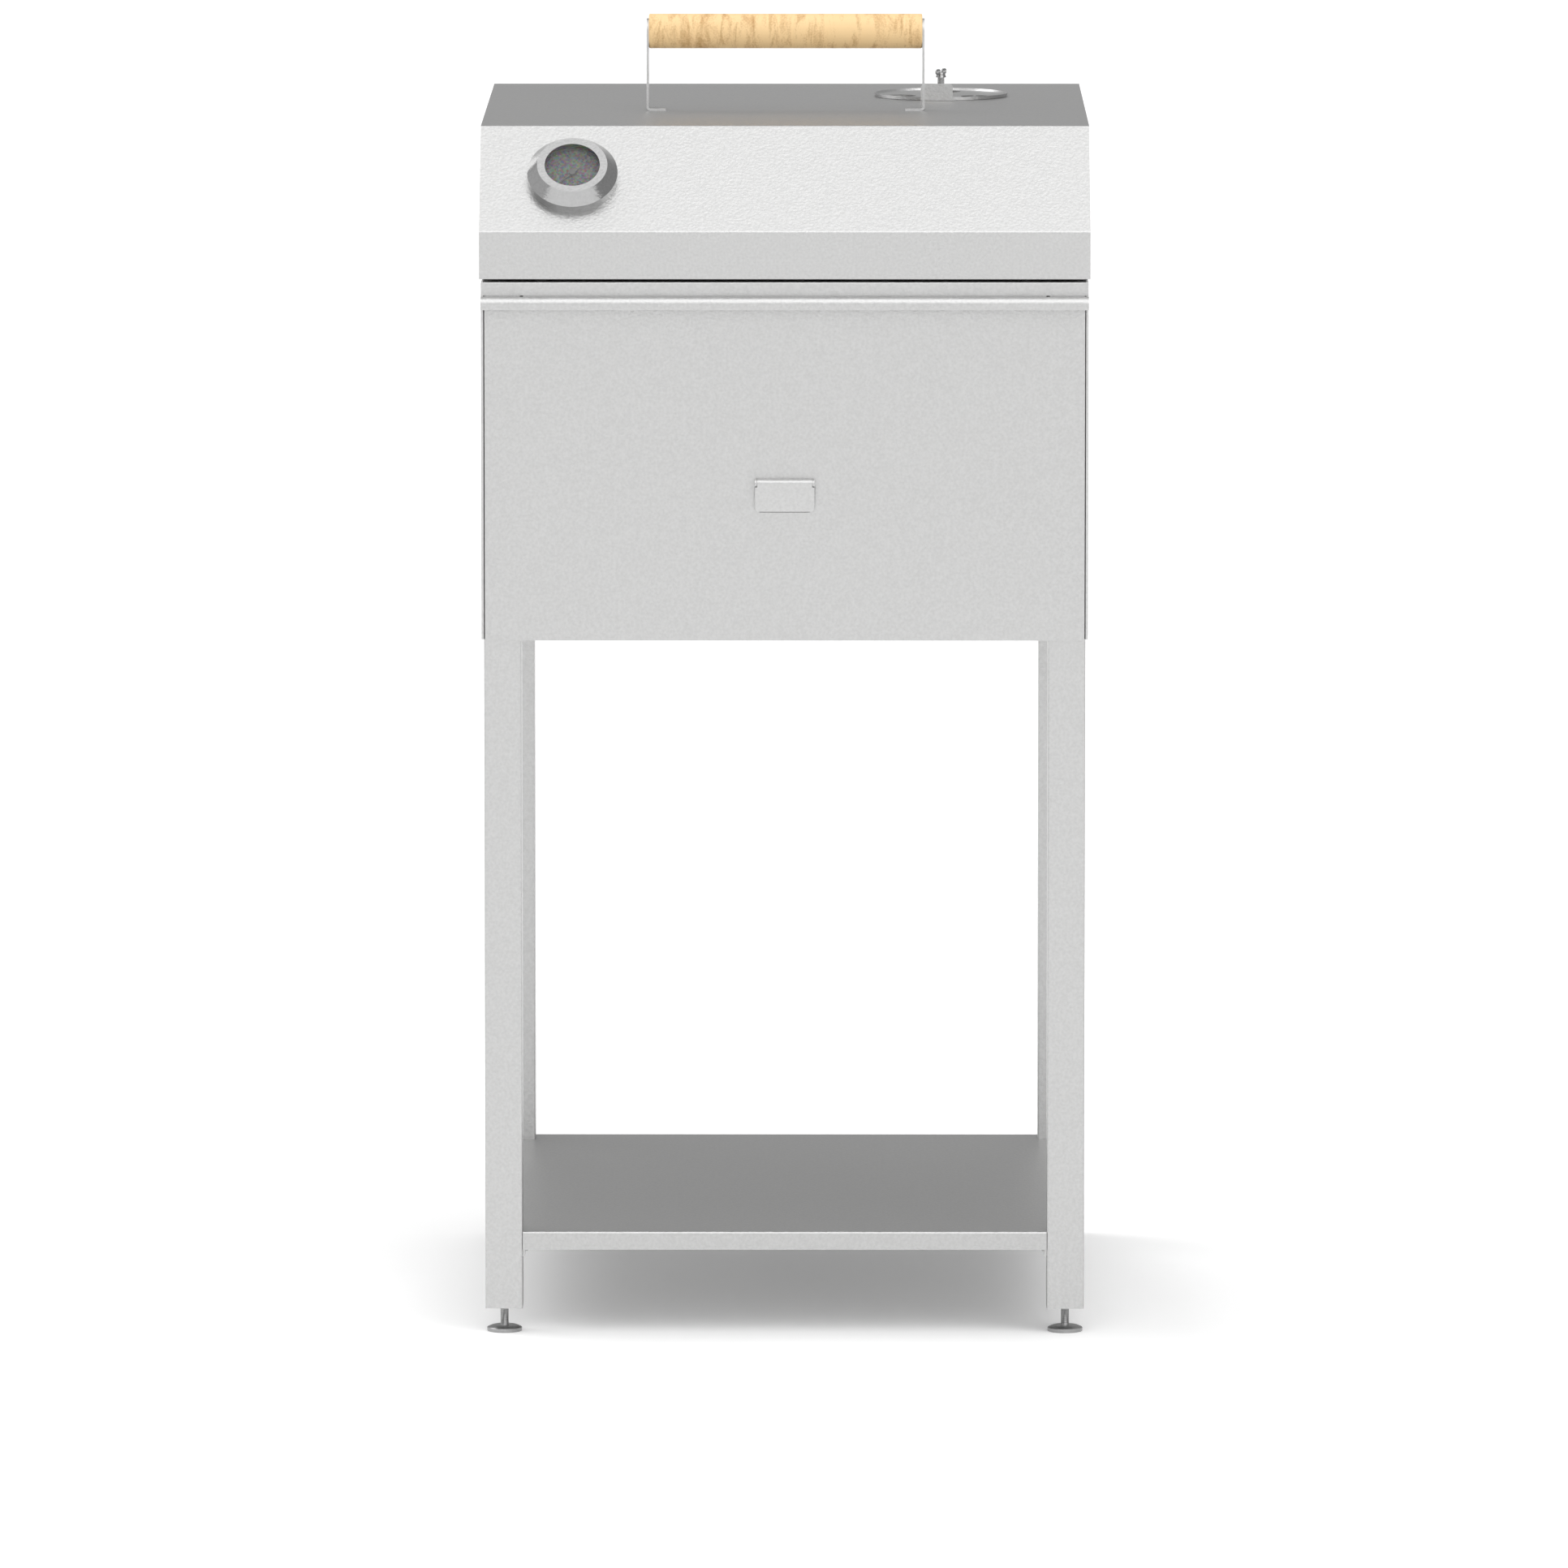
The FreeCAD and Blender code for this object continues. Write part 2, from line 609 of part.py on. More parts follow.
def port_hole(clearance, y0, y1):
    """Rounded slot through the drawer front or the tray behind it."""
    half_w = PORT_W / 2 + clearance
    half_h = PORT_H / 2 + clearance
    corners = [(u, PORT_Z + v, PORT_CORNER_R)
               for u, v in ((-half_w, -half_h), (half_w, -half_h), (half_w, half_h), (-half_w, half_h))]
    return rounded_face(corners, on_xz(y0)).extrude(V(0, y1 - y0, 0))


def make_drawer():
    """Drawer front with finger lip and flap lugs, the tray's pan and end plates, studs, nuts and tabs."""
    path = [(DRAWER_BACK_Y, CASING_BOTTOM), (DRAWER_BACK_Y, LIP_TOP), (LIP_Y, LIP_TOP),
            (LIP_Y, LIP_TOP - LIP_HEIGHT)]
    panel_x = HALF_W - DRAWER_SIDE_GAP
    panel = bent_sheet(path, on_yz(-panel_x), V(2 * panel_x, 0, 0), bend=LIP_BEND)
    wide = bent_sheet(path, on_yz(-CASING_X), V(2 * CASING_X, 0, 0), bend=LIP_BEND)
    ahead = box(-CASING_X, CASING_X, LIP_Y - 1, DRAWER_FRONT_Y - DRAWER_LEG_GAP, CASING_BOTTOM, LIP_TOP + 1)
    front = joined([panel, wide.common(ahead)])
    lug_out = FLAP_W / 2
    axis = V(0, FLAP_AXIS_Y, FLAP_AXIS_Z)
    lugs = []
    for x0 in (lug_out - FLAP_LUG_SHEET, -lug_out):
        x1 = x0 + FLAP_LUG_SHEET
        eye = Part.makeCylinder(FLAP_LUG_R, FLAP_LUG_SHEET, V(x0, axis.y, axis.z), V(1, 0, 0))
        stem = box(x0, x1, axis.y, DRAWER_FRONT_Y, axis.z - FLAP_LUG_R, axis.z + FLAP_LUG_R)
        lugs += [eye, stem]
    pin_ends = (V(-lug_out, axis.y, axis.z), V(lug_out, axis.y, axis.z))
    front = joined([front] + lugs)
    pin_hole = rod(*pin_ends, FLAP_PIN_R + SNUG_FIT)
    parts["drawer_front"] = front.cut([port_hole(0, DRAWER_FRONT_Y - 1, DRAWER_BACK_Y + 1), pin_hole])
    parts["flap_pin"] = rod(*pin_ends, FLAP_PIN_R)

    y0 = DRAWER_BACK_Y
    y1 = TRAY_BACK_Y
    flange_x = FLANGE_X - DRAWER_SIDE_GAP
    flange_z = TRAY_RIM - SHEET
    pan_path = [(-flange_x, flange_z), (-TRAY_X, flange_z), (-TRAY_X, TRAY_BOTTOM), (TRAY_X, TRAY_BOTTOM),
                (TRAY_X, flange_z), (flange_x, flange_z)]
    parts["tray_pan"] = bent_sheet(pan_path, on_xz(y0 + SHEET), V(0, TRAY_D - 2 * SHEET, 0), bend=0)
    spots = tray_stud_spots()
    stud_holes = [rod(p, p + V(0, STUD_LENGTH, 0), STUD_R + SNUG_FIT) for p in spots]
    front_plate = box(-TRAY_X, TRAY_X, y0, y0 + SHEET, TRAY_BOTTOM, TRAY_RIM)
    parts["tray_front"] = front_plate.cut([port_hole(PORT_TRAY_CLEAR, y0 - 1, y0 + SHEET + 1)] + stud_holes)
    parts["tray_back"] = box(-TRAY_X, TRAY_X, y1 - SHEET, y1, TRAY_BOTTOM, TRAY_RIM)
    parts["tray_studs"] = Part.makeCompound([rod(p, p + V(0, STUD_LENGTH, 0), STUD_R) for p in spots])
    nuts = []
    for p in spots:
        nut = hex_prism(V(0, 0, 0), STUD_NUT_AF, STUD_NUT_H)
        nut = nut.cut(rod(V(0, 0, -1), V(0, 0, STUD_NUT_H + 1), STUD_R + SNUG_FIT))
        nut.rotate(V(0, 0, 0), V(1, 0, 0), -90)
        nut.translate(p + V(0, SHEET, 0))
        nuts.append(nut)
    parts["tray_nuts"] = Part.makeCompound(nuts)
    inner = TRAY_X - SHEET
    reach = CHARCOAL_TAB_HALF_LENGTH
    tabs = []
    for y in charcoal_cross_rows():
        for x0, x1 in ((inner - CHARCOAL_TAB_W, inner), (-inner, CHARCOAL_TAB_W - inner)):
            tabs.append(box(x0, x1, y - reach, y + reach, CHARCOAL_TAB_TOP - SHEET, CHARCOAL_TAB_TOP))
    parts["charcoal_grate_tabs"] = Part.makeCompound(tabs)


def make_flap():
    """Port flap: a plate under a rolled top edge, hollowed round the lugs and leaning in to its foot."""
    axis = V(0, FLAP_AXIS_Y, FLAP_AXIS_Z)
    half = FLAP_W / 2
    roll = half - FLAP_LUG_SHEET - FLAP_LUG_GAP
    shoulder = axis.z - FLAP_SHOULDER
    foot = axis.z - FLAP_REACH
    outline = [(-roll, axis.z, 0), (roll, axis.z, 0), (roll, shoulder, 0), (half, shoulder, 0),
               (half, foot, PORT_CORNER_R), (-half, foot, PORT_CORNER_R), (-half, shoulder, 0),
               (-roll, shoulder, 0)]
    plate = rounded_face(outline, on_xz(axis.y - FLAP_ROLL_R)).extrude(V(0, FLAP_SHEET, 0))
    plate.rotate(axis, V(1, 0, 0), FLAP_LEAN)
    ends = (axis - V(roll, 0, 0), axis + V(roll, 0, 0))
    flap = joined([plate, rod(*ends, FLAP_ROLL_R)])
    cuts = [rod(*ends, FLAP_PIN_R + RUN_FIT)]
    for side in (-1, 1):
        lug_ends = (axis + V(side * roll, 0, 0), axis + V(side * (half + 1), 0, 0))
        cuts.append(rod(*lug_ends, FLAP_LUG_R + FLAP_LUG_GAP))
    parts["port_flap"] = flap.cut(cuts)


def bar_grate(x_half, y0, y1, rest_z, rows, pitch):
    """Welded grate: round bars from front to back lying on cross bars, which rest at rest_z."""
    cross_z = rest_z + REST_GAP + CROSS_BAR_R
    bar_z = cross_z + CROSS_BAR_R + BAR_R - BAR_BITE
    outer = x_half - BAR_R - GRATE_EDGE
    count = int(2 * outer // pitch)
    bars = [rod(V(-x_half, y, cross_z), V(x_half, y, cross_z), CROSS_BAR_R) for y in rows]
    for k in range(count + 1):
        x = -outer + 2 * outer * k / count
        bars.append(rod(V(x, y0, bar_z), V(x, y1, bar_z), BAR_R))
    return joined(bars)


def cross_rows(y0, y1):
    """Places of three cross bars between the ends of a grate."""
    return [y0 + CROSS_BAR_INSET, (y0 + y1) / 2, y1 - CROSS_BAR_INSET]


def charcoal_reach():
    """Front and back end of the charcoal grate inside the tray."""
    return DRAWER_BACK_Y + SHEET + CHARCOAL_END_GAP, TRAY_BACK_Y - SHEET - CHARCOAL_END_GAP


def charcoal_cross_rows():
    """Places from front to back of the charcoal grate's cross bars, over the tabs in the tray."""
    y0, y1 = charcoal_reach()
    return cross_rows(y0, y1)


def make_grates():
    """Two lift-out cooking grates on the liner ledges and one charcoal grate in the tray."""
    half = FLANGE_X - COOKING_SIDE_GAP
    reach = FLANGE_Y - COOKING_SIDE_GAP
    for name, y0, y1 in (("front", -reach, -COOKING_SPLIT_GAP / 2), ("rear", COOKING_SPLIT_GAP / 2, reach)):
        rows = cross_rows(y0, y1)
        parts[f"cooking_grate_{name}"] = bar_grate(half, y0, y1, GRATE_LEDGE_TOP, rows, COOKING_PITCH)
    y0, y1 = charcoal_reach()
    half = TRAY_X - SHEET - CHARCOAL_SIDE_GAP
    rows = charcoal_cross_rows()
    parts["charcoal_grate"] = bar_grate(half, y0, y1, CHARCOAL_TAB_TOP, rows, CHARCOAL_PITCH)


def make_lid():
    """Hood lid: one folded skin with a front flange, and two end plates set inside its ends."""
    path = [(LID_Y, LID_BOTTOM), (LID_Y, LID_TOP), (LID_SLOPE - LID_Y, LID_TOP), (-LID_Y, LID_SHOULDER),
            (-LID_Y, LID_BOTTOM)]
    skin = bent_sheet(path, on_yz(-LID_X), V(LID_W, 0, 0))
    flange = box(SHEET - LID_X, LID_X - SHEET, SHEET - LID_Y, LID_FRONT_FLANGE - LID_Y, LID_BOTTOM,
                 LID_BOTTOM + SHEET)
    skin = joined([skin, flange])
    gauge_hole = on_gauge_axis(rod(V(0, 0, -2 * SHEET), V(0, 0, SHEET), NECK_R + HOLE_FIT))
    vents = [rod(p + V(0, 0, LID_TOP - 2 * SHEET), p + V(0, 0, LID_TOP + 1), VENT_R) for p in vent_spots(0.0)]
    pivot = rod(V(DAMPER_X, DAMPER_Y, LID_TOP - 2 * SHEET), V(DAMPER_X, DAMPER_Y, LID_TOP + 1),
                WING_SHANK_R + HOLE_FIT)
    arm_holes = [screw_hole(seat, out, 2 * SHEET) for seat, out in arm_screw_seats()]
    hinge_holes = [screw_hole(seat, out, HINGE_SCREW_LENGTH) for seat, out in LID_HINGE_SCREWS]
    parts["lid_skin"] = skin.cut([gauge_hole, pivot] + vents + arm_holes + hinge_holes)
    near, inside = sheet_corners(path, SHEET, BEND)
    end = rounded_face(inside, on_yz(LID_X - SHEET)).extrude(V(SHEET, 0, 0))
    parts["lid_end_right"] = end
    parts["lid_end_left"] = mirrored(end)


def hinge_leaf(x, face_y, up, knuckles):
    """One hinge leaf on the casing (up = -1) or the lid (up = 1) with its share of the knuckles."""
    clear = HINGE_KNUCKLE_R + HINGE_BACK_GAP
    z0 = HINGE_Z + up * clear
    z1 = HINGE_Z + up * HINGE_LEAF_H
    solids = [box(x - HINGE_W / 2, x + HINGE_W / 2, face_y, face_y + HINGE_LEAF, min(z0, z1), max(z0, z1))]
    for x0, x1 in knuckles:
        solids.append(box(x + x0, x + x1, face_y, face_y + HINGE_LEAF, min(HINGE_Z, z1), max(HINGE_Z, z1)))
        solids.append(rod(V(x + x0, HINGE_Y, HINGE_Z), V(x + x1, HINGE_Y, HINGE_Z), HINGE_KNUCKLE_R))
    bore = rod(V(x - HINGE_W, HINGE_Y, HINGE_Z), V(x + HINGE_W, HINGE_Y, HINGE_Z), HINGE_PIN_R + RUN_FIT)
    return joined(solids).cut(bore)


def make_hinges():
    """Two butt hinges behind the lid: leaves on the casing, leaves on the lid, pins and screws."""
    half = HINGE_W / 2
    middle = MIDDLE_KNUCKLE_W / 2
    outer = [(-half, -middle - KNUCKLE_GAP), (middle + KNUCKLE_GAP, half)]
    inner = [(-middle, middle)]
    casing_holes = [screw_hole(seat, out, HINGE_SCREW_LENGTH) for seat, out in CASING_HINGE_SCREWS]
    lid_holes = [screw_hole(seat, out, HINGE_SCREW_LENGTH) for seat, out in LID_HINGE_SCREWS]
    spots = [side * HINGE_X for side in SIDES.values()]
    parts["hinge_leaves_casing"] = Part.makeCompound(
        [hinge_leaf(x, CASING_Y, -1, outer).cut(casing_holes) for x in spots])
    parts["hinge_leaves_lid"] = Part.makeCompound(
        [hinge_leaf(x, LID_Y, 1, inner).cut(lid_holes) for x in spots])
    parts["hinge_pins"] = Part.makeCompound(
        [rod(V(x - half, HINGE_Y, HINGE_Z), V(x + half, HINGE_Y, HINGE_Z), HINGE_PIN_R) for x in spots])
    parts["hinge_screws_casing"] = Part.makeCompound(
        [screw(seat, out, HINGE_SCREW_LENGTH) for seat, out in CASING_HINGE_SCREWS])
    parts["hinge_screws_lid"] = Part.makeCompound(
        [screw(seat, out, HINGE_SCREW_LENGTH) for seat, out in LID_HINGE_SCREWS])


def make_handle():
    """Wooden grip on a core rod between two folded arms, held from inside the lid."""
    inner = GRIP_LENGTH / 2
    outer = inner + SHEET
    y0 = HANDLE_Y - ARM_W / 2
    rod_ends = (V(-outer, HANDLE_Y, HANDLE_Z), V(outer, HANDLE_Y, HANDLE_Z))
    core_hole = rod(*rod_ends, CORE_ROD_R + SNUG_FIT)
    path = [(inner - ARM_TAB, LID_TOP), (outer, LID_TOP), (outer, HANDLE_Z)]
    fold = bent_sheet(path, on_xz(y0), V(0, ARM_W, 0), bend=ARM_BEND)
    eye = rod(V(inner, HANDLE_Y, HANDLE_Z), V(outer, HANDLE_Y, HANDLE_Z), ARM_W / 2)
    holes = [screw_hole(seat, out, 2 * SHEET) for seat, out in arm_screw_seats()]
    arm = joined([fold, eye])
    parts["handle_arm_right"] = arm.cut([core_hole] + holes)
    parts["handle_arm_left"] = mirrored(arm).cut([core_hole] + holes)
    grip = rod(V(-inner, HANDLE_Y, HANDLE_Z), V(inner, HANDLE_Y, HANDLE_Z), GRIP_R)
    parts["handle_grip"] = grip.cut(core_hole)
    parts["handle_core_rod"] = rod(*rod_ends, CORE_ROD_R)
    parts["handle_base_screws"] = Part.makeCompound(
        [screw(seat, out, 2 * SHEET) for seat, out in arm_screw_seats()])


def make_thermometer():
    """Thermometer on the slope of the lid: case, dial, lens, pointer, probe stem and clamping nut."""
    origin = V(0, 0, 0)
    lens_top = GAUGE_H - GAUGE_RECESS
    dial_top = GAUGE_FLOOR + DIAL_SHEET
    neck_hole = NECK_R + RUN_FIT
    case = turned([(neck_hole, 0), (GAUGE_BASE_R, 0), (GAUGE_BASE_R, GAUGE_BASE_H), (GAUGE_FACE_R, GAUGE_H),
                   (GAUGE_OPENING_R, GAUGE_H), (GAUGE_OPENING_R, lens_top), (GAUGE_CAVITY_R, lens_top),
                   (GAUGE_CAVITY_R, GAUGE_FLOOR), (neck_hole, GAUGE_FLOOR)], origin)
    glass_r = GAUGE_CAVITY_R - GLASS_FIT
    lens = turned([(0, lens_top - GAUGE_LENS), (glass_r, lens_top - GAUGE_LENS), (glass_r, lens_top),
                   (0, lens_top)], origin)
    shaft_hole = POINTER_SHAFT_R + RUN_FIT
    dial = turned([(shaft_hole, GAUGE_FLOOR), (glass_r, GAUGE_FLOOR), (glass_r, dial_top),
                   (shaft_hole, dial_top)], origin)
    stem = turned([(0, -PROBE_LENGTH), (PROBE_R, -PROBE_LENGTH), (PROBE_R, -NECK_LENGTH),
                   (NECK_R, -NECK_LENGTH), (NECK_R, NECK_TOP), (0, NECK_TOP)], origin)
    nut = hex_prism(V(0, 0, -SHEET - GAUGE_NUT_H), GAUGE_NUT_AF, GAUGE_NUT_H)
    nut = nut.cut(rod(V(0, 0, -2 * NECK_LENGTH), V(0, 0, 0), NECK_R + SNUG_FIT))
    z0 = dial_top + POINTER_RAISE
    hub = rod(V(0, 0, z0), V(0, 0, z0 + POINTER_HUB_H), POINTER_HUB_R)
    shaft = rod(V(0, 0, GAUGE_FLOOR + REST_GAP), V(0, 0, z0), POINTER_SHAFT_R)
    half = POINTER_W / 2
    tip = POINTER_TIP_W / 2
    blade_outline = [(-half, -POINTER_TAIL, 0), (half, -POINTER_TAIL, 0), (tip, POINTER_LENGTH, 0),
                     (-tip, POINTER_LENGTH, 0)]
    blade = rounded_face(blade_outline, lambda u, v: V(u, v, z0)).extrude(V(0, 0, POINTER_SHEET))
    pointer = joined([hub, shaft, blade])
    pointer.rotate(origin, V(0, 0, 1), POINTER_REST_TURN)
    pieces = {"case": case, "lens": lens, "dial": dial, "stem": stem, "nut": nut, "pointer": pointer}
    for name, shape in pieces.items():
        parts[f"thermometer_{name}"] = on_gauge_axis(shape)


def wing():
    """One wing of the wing screw, a rounded ear standing on the hub along +X."""
    reach = WING_SPAN / 2
    base = WING_SHANK_UP
    top = base + WING_HUB_H + WING_RISE
    outline = [(0, base, 0), (WING_HUB_R, base, 0), (reach, base + WING_RISE, WING_CORNER_R),
               (reach, top, WING_CORNER_R), (WING_HUB_R + WING_SHEET, top, WING_CORNER_R),
               (WING_SHEET, base + WING_HUB_H, 0), (0, base + WING_HUB_H, 0)]
    return rounded_face(outline, on_xz(-WING_SHEET / 2)).extrude(V(0, WING_SHEET, 0))


def make_damper():
    """Vent damper on the lid: dish with a flared rim, vent holes and a bent-up tab, wing screw, two nuts."""
    axis = V(DAMPER_X, DAMPER_Y, 0)
    z0 = DAMPER_Z
    rim_z = z0 + DAMPER_RIM_H
    foot_r = DAMPER_R - DAMPER_RIM_FLARE
    dish = turned([(0, z0), (foot_r, z0), (DAMPER_R, rim_z), (DAMPER_R - DAMPER_SHEET, rim_z),
                   (foot_r - DAMPER_SHEET, z0 + DAMPER_SHEET), (0, z0 + DAMPER_SHEET)], axis)
    half = DAMPER_TAB_W / 2
    front_y = DAMPER_Y - DAMPER_R - DAMPER_TAB_STAND
    tongue = box(DAMPER_X - half, DAMPER_X + half, front_y, front_y + DAMPER_TONGUE, z0, z0 + DAMPER_SHEET)
    tab_outline = [(DAMPER_X - half, z0, 0), (DAMPER_X + half, z0, 0),
                   (DAMPER_X + half, z0 + DAMPER_TAB_H, DAMPER_TAB_CORNER_R),
                   (DAMPER_X - half, z0 + DAMPER_TAB_H, DAMPER_TAB_CORNER_R)]
    tab = rounded_face(tab_outline, on_xz(front_y)).extrude(V(0, DAMPER_SHEET, 0))
    damper = joined([dish, tongue, tab])
    damper.rotate(axis, V(0, 0, 1), DAMPER_TURN)
    above = V(0, 0, z0 + DAMPER_SHEET + 1)
    vents = [rod(p + V(0, 0, z0 - 1), p + above, VENT_R) for p in vent_spots(DAMPER_TURN)]
    pivot = rod(axis + V(0, 0, z0 - 1), axis + above, WING_SHANK_R + RUN_FIT)
    parts["damper_disc"] = damper.cut(vents + [pivot])

    top = V(DAMPER_X, DAMPER_Y, LID_TOP)
    shank = rod(V(0, 0, -WING_SHANK_DOWN), V(0, 0, WING_SHANK_UP), WING_SHANK_R)
    hub = Part.makeCone(WING_HUB_R, WING_HUB_TOP_R, WING_HUB_H, V(0, 0, WING_SHANK_UP))
    right = wing()
    screw_body = joined([shank, hub, right, mirrored(right)])
    screw_body.rotate(V(0, 0, 0), V(0, 0, 1), WING_TURN)
    screw_body.translate(top)
    parts["damper_wing_screw"] = screw_body

    flange_z = z0 + DAMPER_SHEET + DAMPER_LIFT
    ends = (top - V(0, 0, 2 * WING_SHANK_DOWN), top + V(0, 0, 2 * WING_SHANK_UP))
    bore = rod(*ends, WING_SHANK_R + SNUG_FIT)
    flange = Part.makeCylinder(NUT_FLANGE_R, NUT_FLANGE_H, axis + V(0, 0, flange_z))
    lock_nut = hex_prism(axis + V(0, 0, flange_z + NUT_FLANGE_H), DAMPER_NUT_AF, DAMPER_NUT_H)
    parts["damper_flange_nut"] = joined([flange, lock_nut]).cut(bore)
    run_bore = rod(*ends, WING_SHANK_R + RUN_FIT)
    weld_nut = hex_prism(top - V(0, 0, SHEET + DAMPER_NUT_H), DAMPER_NUT_AF, DAMPER_NUT_H)
    parts["damper_weld_nut"] = weld_nut.cut(run_bore)


def export_parts():
    """Write every node to its own STEP file, checking that it holds only closed solids."""
    os.makedirs("parts", exist_ok=True)
    for name, shape in parts.items():
        if not shape.Solids or not shape.isValid():
            raise RuntimeError(f"{name} is not a valid solid")
        shape.exportStep(f"parts/{name}.step")
    print(len(parts), "nodes written")


make_legs()
make_feet()
make_shelf()
make_casing()
make_firebox()
make_drawer()
make_flap()
make_grates()
make_lid()
make_hinges()
make_handle()
make_thermometer()
make_damper()
export_parts()
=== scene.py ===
import json
import math

import bpy
import numpy as np
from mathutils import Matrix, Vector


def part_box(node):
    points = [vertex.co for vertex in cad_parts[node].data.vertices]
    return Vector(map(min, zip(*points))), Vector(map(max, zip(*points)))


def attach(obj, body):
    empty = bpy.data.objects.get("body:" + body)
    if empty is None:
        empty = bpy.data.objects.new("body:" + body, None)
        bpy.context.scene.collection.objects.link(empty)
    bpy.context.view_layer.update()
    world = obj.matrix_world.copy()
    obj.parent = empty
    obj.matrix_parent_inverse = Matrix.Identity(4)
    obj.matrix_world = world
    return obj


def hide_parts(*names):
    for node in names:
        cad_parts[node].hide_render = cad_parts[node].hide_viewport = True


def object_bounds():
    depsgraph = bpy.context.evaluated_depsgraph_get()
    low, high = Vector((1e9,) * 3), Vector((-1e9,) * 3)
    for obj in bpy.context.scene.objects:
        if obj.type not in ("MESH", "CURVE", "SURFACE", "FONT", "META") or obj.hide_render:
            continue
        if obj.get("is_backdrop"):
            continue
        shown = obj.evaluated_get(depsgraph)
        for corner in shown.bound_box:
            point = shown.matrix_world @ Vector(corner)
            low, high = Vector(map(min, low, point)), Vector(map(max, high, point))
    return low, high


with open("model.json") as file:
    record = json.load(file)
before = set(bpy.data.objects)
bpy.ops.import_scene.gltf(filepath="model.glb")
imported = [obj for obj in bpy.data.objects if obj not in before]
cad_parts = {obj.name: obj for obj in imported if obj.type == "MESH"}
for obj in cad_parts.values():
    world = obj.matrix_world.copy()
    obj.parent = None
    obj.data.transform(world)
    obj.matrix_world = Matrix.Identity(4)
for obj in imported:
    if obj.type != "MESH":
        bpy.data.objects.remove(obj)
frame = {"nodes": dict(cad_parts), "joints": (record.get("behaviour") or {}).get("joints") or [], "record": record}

bl_info = {
    "name": "Charcoal grill finishes",
    "version": (1, 0, 0),
    "blender": (4, 5, 0),
    "location": "View3D > Sidebar > Grill",
    "description": "Finishes, turned pieces and stage of a free-standing charcoal grill",
    "category": "Object",
}

# What the frame says
NODES = frame["nodes"]
JOINTS = {joint["name"]: joint for joint in frame["joints"]}
SLOT_NODES = {}
for part in frame["record"]["subparts"]:
    SLOT_NODES.setdefault(part["material_slot"], []).append(part["node"])
CAD_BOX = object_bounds()
GRIP_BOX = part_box("handle_grip")
SCREW_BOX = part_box("damper_wing_screw")
LID_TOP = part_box("lid_skin")[1].z
FEET = [f"foot_{end}_{side}" for end in ("front", "rear") for side in ("left", "right")]

# Soft panels of light: direction of the middle, then the angles in degrees where its fade starts and ends
SOFT_PANELS = {
    "overhead": ((0.0, 0.0, 1.0), 17, 46),
    "key": ((0.20, -0.58, 0.79), 14, 38),
    "front": ((0.05, -0.99, 0.12), 24, 54),
    "rim": ((-0.65, 0.30, 0.70), 9, 22),
    "side": ((0.60, -0.47, 0.65), 8, 18),
    "fill": ((-0.98, 0.0, 0.20), 15, 50),
}

# Axes of the frame
UP = np.array((0.0, 0.0, 1.0))
RIGHT = np.array((1.0, 0.0, 0.0))

# Noise in the steel: octaves, break-up, and the noise values over which a tone or a stain runs
GRAIN_DETAIL = 2.0
GRAIN_REACH = 0.2
CLOUD_DETAIL = 3.0
GLOSS_SWING = 0.07
STAIN_DETAIL = 5.0
STAIN_BREAKUP = 0.6
STAIN_FROM = 0.35
STAIN_FULL = 0.70

# Angle between faces above which an edge stays sharp
CREASE = math.radians(35)

# White with full alpha
WHITE = (1.0, 1.0, 1.0, 1.0)


def colour(name, description, default):
    """Colour that a user may change, in scene-linear values."""
    return bpy.props.FloatVectorProperty(name=name, description=description, default=default, size=3,
                                         min=0.0, max=1.0, subtype="COLOR")


def share(name, description, default):
    """Share from 0 to 1 that a user may change."""
    return bpy.props.FloatProperty(name=name, description=description, default=default, min=0.0, max=1.0,
                                   subtype="FACTOR")


def length(name, description, default):
    """Length in metres that a user may change."""
    return bpy.props.FloatProperty(name=name, description=description, default=default, precision=5,
                                   unit="LENGTH")


def level(name, description, default):
    """Plain number that a user may change."""
    return bpy.props.FloatProperty(name=name, description=description, default=default, precision=3)


